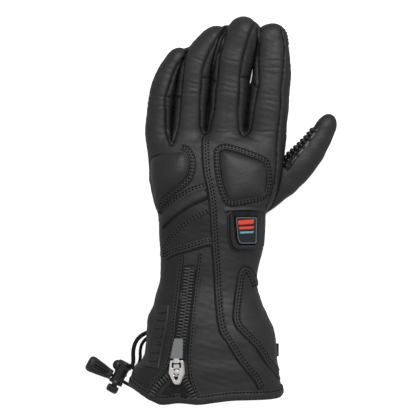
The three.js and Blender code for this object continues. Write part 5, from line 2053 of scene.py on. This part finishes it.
@dataclass
class CuffTrim:
    """The ribbed strip, the hem binding and the side tab."""

    skin: Skin
    bench: Bench
    stitch: Stitch = field(default_factory=Stitch)
    strip: Points = ((162.6, 304.5), (161.5, 317), (159.3, 330), (156.4, 345), (152.6, 366.5))
    strip_width: float = 11.5
    rib_count: int = 7
    hem_width: float = 7.4
    around: int = 420

    def ribbed_strip(self) -> None:
        """Builds the raised strip with its plain ribs."""
        path = smooth_path(PLAN.at(self.strip), 1.0)
        half = self.strip_width / 2
        section = (
            (-half - 0.5, -0.3), (-half, 0.6), (-half + 0.7, 1.2), (-half + 1.5, 1.2), (-half + 2.0, 0.55),
            (0, 0.5), (half - 2.0, 0.55), (half - 1.5, 1.2), (half - 0.7, 1.3), (half, 0.7),
            (half + 0.5, -0.3),
        )
        band = facing_up(self.skin.band(path, section))
        places, normals = self.skin.drape(smooth_path(PLAN.at(self.strip), 1.0))
        way = directions(places)
        side = np.cross(way, normals)
        at = np.linspace(6, len(places) - 7, self.rib_count).astype(int)
        frames = [Frame3(places[i], np.column_stack([side[i], way[i], normals[i]])) for i in at]
        bar = rounded([(-3.6, -1.2), (3.6, -1.2), (3.6, 1.2), (-3.6, 1.2)], 0.9, 3)
        ribs = [slab(bar, ((0.3, 0.0), (0.8, 0.0), (1.25, 0.3), (1.4, 0.8)), frame) for frame in frames]
        self.bench.add("rib_panel", joined([band, *ribs]), "back_leather", "back_leather",
                       "ribbed_strip", sharp=50)

    def hem(self) -> None:
        """Builds the binding that is folded round the cuff's mouth."""
        hand = self.skin.form.hand
        angle = round_turn(self.around)
        cos, sin = np.cos(angle), np.sin(angle)
        u, w = (np.sign(c) * np.abs(c) ** (2 / hand.power) for c in (cos, sin))
        edge = hand.hem_at(np.clip(u, -1, 1))
        width = self.hem_width
        section = (
            (0.1, width + 0.3), (0.75, width - 0.1), (1.05, width - 0.9), (0.75, width - 1.6),
            (1.1, width - 2.6), (1.35, width / 2), (1.35, 1.4), (0.9, 0.0), (-0.4, -0.7), (-2.0, -0.7),
            (-3.4, 0.1), (-3.9, 1.4), (-3.9, width - 1.0), (-3.2, width),
        )
        waves = Ripples(31, 13, 0, 20)
        rings = []
        for out, along in section:
            y = edge + along
            half, top = hand.half_width(y), hand.top(y)
            deep = (top + hand.flattening) / 2
            nx, nz = u / half, w / deep
            size = np.hypot(nx, nz)
            loose = 0.3 * waves(np.column_stack([angle * half, y]))
            x = hand.middle(y) + u * half + nx / size * (out + loose)
            z = (top - hand.flattening) / 2 + w * deep + nz / size * (out + loose)
            floor = 0.15 if out > -1 else self.skin.form.wall + 0.6
            rings.append(np.column_stack([x, y, np.maximum(z, floor)]))
        faces = grid_faces(len(rings), self.around, around=True)
        band = Cloth(np.vstack(rings), faces)
        self.bench.add("hem_band", band, "back_leather", "back_leather", "hem_binding")
        row = rings[3]
        above = row[:, 2] > 1.5
        inward = rings[5] - rings[4]
        normals = unit(np.cross(np.roll(row, -1, axis=0) - np.roll(row, 1, axis=0), inward))
        start = int(np.argmax(above & ~np.roll(above, 1)))
        order = np.roll(np.arange(self.around), -start)[: int(above.sum())]
        made = self.stitch.along(row[order] + 0.15 * normals[order], normals[order])
        self.bench.add("hem_stitches", made, "thread", "back_leather")

    def tab(self) -> None:
        """Builds the folded tab in the cuff's side seam."""
        low, high = (np.array(corner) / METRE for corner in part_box("side_tab"))
        half = (high[1] - low[1]) / 2
        middle = (low + high) / 2
        frame = Frame3(
            np.array([low[0] + 0.2, middle[1], middle[2] - 1.0]),
            np.column_stack([(0, 1, 0), (0, 0, 1), (1, 0, 0)]),
        )
        outline = rounded([(-half, -1.1), (half, -1.1), (half, 1.1), (-half, 1.1)], 1.0, 4)
        reach = high[0] - low[0] - 0.4
        loop = slab(outline, ((0.0, 0.0), (reach - 0.8, 0.0), (reach - 0.2, 0.3), (reach, 0.8)), frame)
        self.bench.add("tab_loop", loop, "tape_cloth", "side_cloth", "side_tab", sharp=50)

    def build(self) -> None:
        """Builds the cuff's trim."""
        self.ribbed_strip()
        self.hem()
        self.tab()


# The drawcord


@dataclass
class Drawcord:
    """The elastic drawcords at the cuff's corner, with their lock and bell."""

    bench: Bench
    outer_route: Points = (
        (-53.4, -109, 17.2), (-59.3, -112, 15.6), (-63.4, -116, 13.6), (-65.9, -121.2, 11.8),
        (-66.8, -127, 10.2), (-66.7, -132, 9.2), (-67, -136, 8.8), (-68.6, -138.6, 8.6),
    )
    inner_route: Points = (
        (-52, -112.6, 10.6), (-56.4, -115.6, 9.2), (-59.8, -120.4, 7), (-61, -126, 5.2), (-61, -131.4, 4.2),
        (-62.2, -136.2, 4), (-65, -139.2, 4), (-68, -140.8, 4),
    )
    tail_route: Points = (
        (-52.4, -160, 6), (-58.6, -159.4, 5.7), (-64.6, -157, 5.6), (-69.8, -154.4, 5.8), (-75, -151.5, 6.2),
        (-80.2, -148.5, 6.3), (-86.2, -145.1, 6.3), (-93.6, -141, 6.3),
    )
    outer_diameter: float = 3.6
    inner_diameter: float = 2.8
    lock_top: Place = (-72.4, -135.2, 6.5)
    lock_heading: float = 208.5
    lock_length: float = 20.4
    knob: Place = (-79.7, -137.4, 6.5)
    bell_neck: Place = (-85.4, -145.6, 6.3)
    bell_heading: float = 299.0

    @staticmethod
    def heading(degrees: float) -> Place:
        """The way of a plan angle, from +Y towards +X."""
        return (math.sin(math.radians(degrees)), math.cos(math.radians(degrees)), 0.0)

    def cord(self, name: str, route: Points, diameter: float) -> None:
        line = smooth_path(route, 1.2) * METRE
        curve = bpy.data.curves.new(name, "CURVE")
        curve.dimensions = "3D"
        curve.bevel_depth = diameter / 2 * METRE
        curve.bevel_resolution = 4
        curve.use_fill_caps = True
        spline = curve.splines.new("POLY")
        spline.points.add(len(line) - 1)
        for point, place in zip(spline.points, line):
            point.co = (*place, 1.0)
        curve.materials.append(self.bench.finishes["cord_cloth"])
        piece = bpy.data.objects.new(name + "_braid", curve)
        bpy.context.scene.collection.objects.link(piece)
        seat(piece, Body.GLOVE, "cord_cloth", name)

    def lock(self) -> Thing:
        """Builds the cord lock's barrel and knob."""
        way = self.heading(self.lock_heading)
        long = self.lock_length
        barrel = (
            (0.0, 0.02), (0.0, 5.0), (0.25, 6.0), (0.9, 6.5), (3.2, 6.5), (4.0, 6.2), (5.2, 5.3),
            (5.8, 5.1), (9.2, 5.1), (9.6, 5.6), (10.8, 5.6), (11.2, 5.1), (long - 3.4, 5.1),
            (long - 2.6, 5.8), (long - 0.5, 6.0), (long - 0.1, 5.7), (long, 4.2), (long, 2.8),
            (long - 2.2, 2.8), (long - 2.2, 0.02),
        )
        parts = [lathe(barrel, self.lock_top, way, 40)]
        knob = [(4.5 * -math.cos(t), max(4.5 * math.sin(t), 0.02)) for t in np.linspace(0, np.pi, 17)]
        parts.append(lathe(knob, self.knob, (0.0, 0.0, 1.0), 32))
        # The lock's lighter plastic colour is painted sheen.
        return self.bench.add("lock_barrel", joined(parts), "lock_plastic_painted_sheen", "moulding", "cord_lock", sharp=40)

    def plunger(self) -> Thing:
        """Builds the lock's plunger."""
        start = self.lock_length - 2.2 + 1.75
        head = self.lock_length + 1.75
        profile = (
            (start, 0.02), (start, 2.5), (head, 2.5), (head, 4.2), (head + 0.5, 4.8), (head + 1.4, 5.0),
            (head + 4.4, 5.0), (head + 5.4, 4.6), (head + 6.0, 3.6), (head + 6.0, 0.02),
        )
        made = lathe(
            profile, self.lock_top, self.heading(self.lock_heading), 40, 10,
            lambda along: np.where(along > head + 1, 0.35, 0.0),
        )
        return self.bench.add("plunger_head", made, "lock_plastic_painted_sheen", "moulding", "lock_plunger",
                              body=Body.PLUNGER, sharp=40)

    def bell(self) -> Thing:
        """Builds the fluted bell on the cord's end."""
        profile = (
            (-0.6, 1.6), (-0.6, 3.4), (-0.2, 4.0), (0.6, 4.2), (1.8, 4.2), (3.0, 4.5), (6.0, 5.0),
            (9.0, 5.5), (12.0, 6.0), (15.4, 6.45), (16.6, 6.7), (17.8, 6.8), (19.4, 6.75), (20.8, 6.3),
            (21.8, 5.4), (22.4, 4.0), (22.4, 0.02),
        )

        def depth(along: Array) -> Array:
            """The flutes' depth, which fades out at both ends."""
            return 0.9 * smooth_step((along - 1.8) / 1.5) * smooth_step((19.2 - along) / 2.5)

        made = lathe(profile, self.bell_neck, self.heading(self.bell_heading), 96, 16, depth)
        return self.bench.add("bell_body", made, "lock_plastic_painted_sheen", "moulding", "cord_bell", sharp=40)

    def build(self) -> None:
        """Builds the cords and their fittings."""
        lock, plunger, bell = self.lock(), self.plunger(), self.bell()
        self.cord("drawcord_outer", self.outer_route, self.outer_diameter)
        self.cord("drawcord_inner", self.inner_route, self.inner_diameter)
        self.cord("drawcord_tail", self.tail_route, self.inner_diameter)


# The studio


@dataclass
class Studio:
    """A pale floor, soft lights and the camera straight above."""

    bench: Bench
    camera_height: float = 2.53
    lens: float = 258.0
    lamps: tuple[tuple[str, Place, float, float], ...] = (
        ("key", (0.15, 0.6, 0.8), 4.3, 0.6),
        ("low_right", (1.2, -0.1, 0.3), 0.2, 0.7),
    )
    world_strength: float = 0.44

    def build(self) -> None:
        """Builds the floor, the lights and the camera."""
        scene = bpy.context.scene
        side = 3.0
        corners = np.array([(-side, -side), (side, -side), (side, side), (-side, side)]) / METRE
        sheet = Cloth(np.column_stack([corners, np.full(4, -0.2)]), np.array([[0, 1, 2, 3]]))
        floor = mesh_object("floor", sheet, self.bench.finishes["floor"])
        # The floor is seen but lights nothing, so that the glove's flanks stay dark
        floor.visible_diffuse = floor.visible_glossy = False
        for name, place, power, size in self.lamps:
            light = bpy.data.lights.new(name, "AREA")
            light.energy, light.size = power, size
            lamp = bpy.data.objects.new(name, light)
            lamp.location = place
            lamp.rotation_euler = (-Vector(place)).to_track_quat("-Z", "Y").to_euler()
            scene.collection.objects.link(lamp)
        world = bpy.data.worlds.new("studio")
        world.use_nodes = True
        world.node_tree.nodes["Background"].inputs["Color"].default_value = (1, 1, 1, 1)
        world.node_tree.nodes["Background"].inputs["Strength"].default_value = self.world_strength
        scene.world = world
        scene.view_settings.view_transform = "Standard"
        lens = bpy.data.cameras.new("camera")
        lens.lens = self.lens
        camera = bpy.data.objects.new("camera", lens)
        middle = PLAN.at([(PLAN.frame_pixels / 2, PLAN.frame_pixels / 2)])[0] * METRE
        camera.location = (middle[0], middle[1], self.camera_height)
        scene.collection.objects.link(camera)
        scene.camera = camera


def make_finishes() -> dict[str, Material]:
    """Builds every finish, by the record's slot or by its own name."""
    made = {
        "back_leather": LeatherFinish("back_leather"),
        "palm_leather": LeatherFinish("palm_leather", rough_low=0.5, rough_high=0.62),
        # A darker copy of the back leather: painted shade for panels on the glove's left.
        "back_leather_painted_shade": LeatherFinish("back_leather_painted_shade", (0.006, 0.006, 0.006), (0.012, 0.012, 0.0115)),
        "side_cloth": LeatherFinish("side_cloth", (0.012, 0.012, 0.013), (0.019, 0.019, 0.021), 0.5, 0.62),
        "grip_rubber": PlainFinish("grip_rubber", (0.004, 0.004, 0.004), 0.14),
        "moulding": PlainFinish("moulding", (0.012, 0.012, 0.012), 0.38, grain_depth=0.03),
        # A lighter, glossier copy of the moulding for the lock, plunger and bell; its lighter colour is
        # painted sheen.
        "lock_plastic_painted_sheen": PlainFinish("lock_plastic_painted_sheen", (0.018, 0.018, 0.018), 0.3, grain_depth=0.03),
        "button_plastic": PlainFinish("button_plastic", (0.012, 0.013, 0.015), 0.3),
        "zip_plastic": PlainFinish("zip_plastic", (0.085, 0.085, 0.086), 0.38),
        "tape_cloth": WeaveFinish("tape_cloth"),
        "chrome": PlainFinish("chrome", (0.96, 0.93, 0.9), 0.1, metallic=0.6, grain_mm=2.0, grain_depth=0.05),
        "pull_rubber": PlainFinish("pull_rubber", (0.24, 0.25, 0.26), 0.55, grain_depth=0.03),
        "cord_cloth": WeaveFinish("cord_cloth", (0.008, 0.008, 0.009), 0.7, 0.14),
        # Copies of one pad leather: the knuckle pad's lighter colour is painted light on the lit right side,
        # the side pad's darker colour painted shade on the left.
        "knuckle_pad": LeatherFinish("knuckle_pad", (0.022, 0.022, 0.023), (0.03, 0.03, 0.032), 0.44, 0.52),
        "side_pad": LeatherFinish("side_pad", (0.012, 0.012, 0.012), (0.018, 0.018, 0.019), 0.42, 0.52),
        "gusset": PlainFinish("gusset", (0.006, 0.006, 0.006), 0.75),
        "thread": ThreadFinish(),
        # Near-black finish of painted shade: the cords in seam grooves and folds, and the plates in the
        # control's slot, the slider and the zip's recess.
        "seam": PlainFinish("seam", (0.003, 0.003, 0.003), 0.8),
        "rim": PlainFinish("rim", (0.16, 0.2, 0.26), 0.35),
        "mark_warm": PlainFinish("mark_warm", (0.95, 0.07, 0.03), 0.45),
        "mark_cool": PlainFinish("mark_cool", (0.1, 0.55, 0.68), 0.45),
        "floor": PaperFinish(),
    }
    return {name: finish.make() for name, finish in made.items()}


def main() -> None:
    """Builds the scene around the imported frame."""
    logging.basicConfig(level=logging.INFO, format="%(name)s: %(message)s", stream=sys.stdout)
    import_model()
    bench = Bench(make_finishes())
    Studio(bench).build()
    Drawcord(bench).build()
    skin = Skin(GloveForm())
    Shell(skin).build(bench)
    Thumb(skin.form).build(bench)
    for part in (Back(skin, bench), Control(bench), Zip(skin, bench), CuffTrim(skin, bench)):
        part.build()


if __name__ == "__main__":
    main()
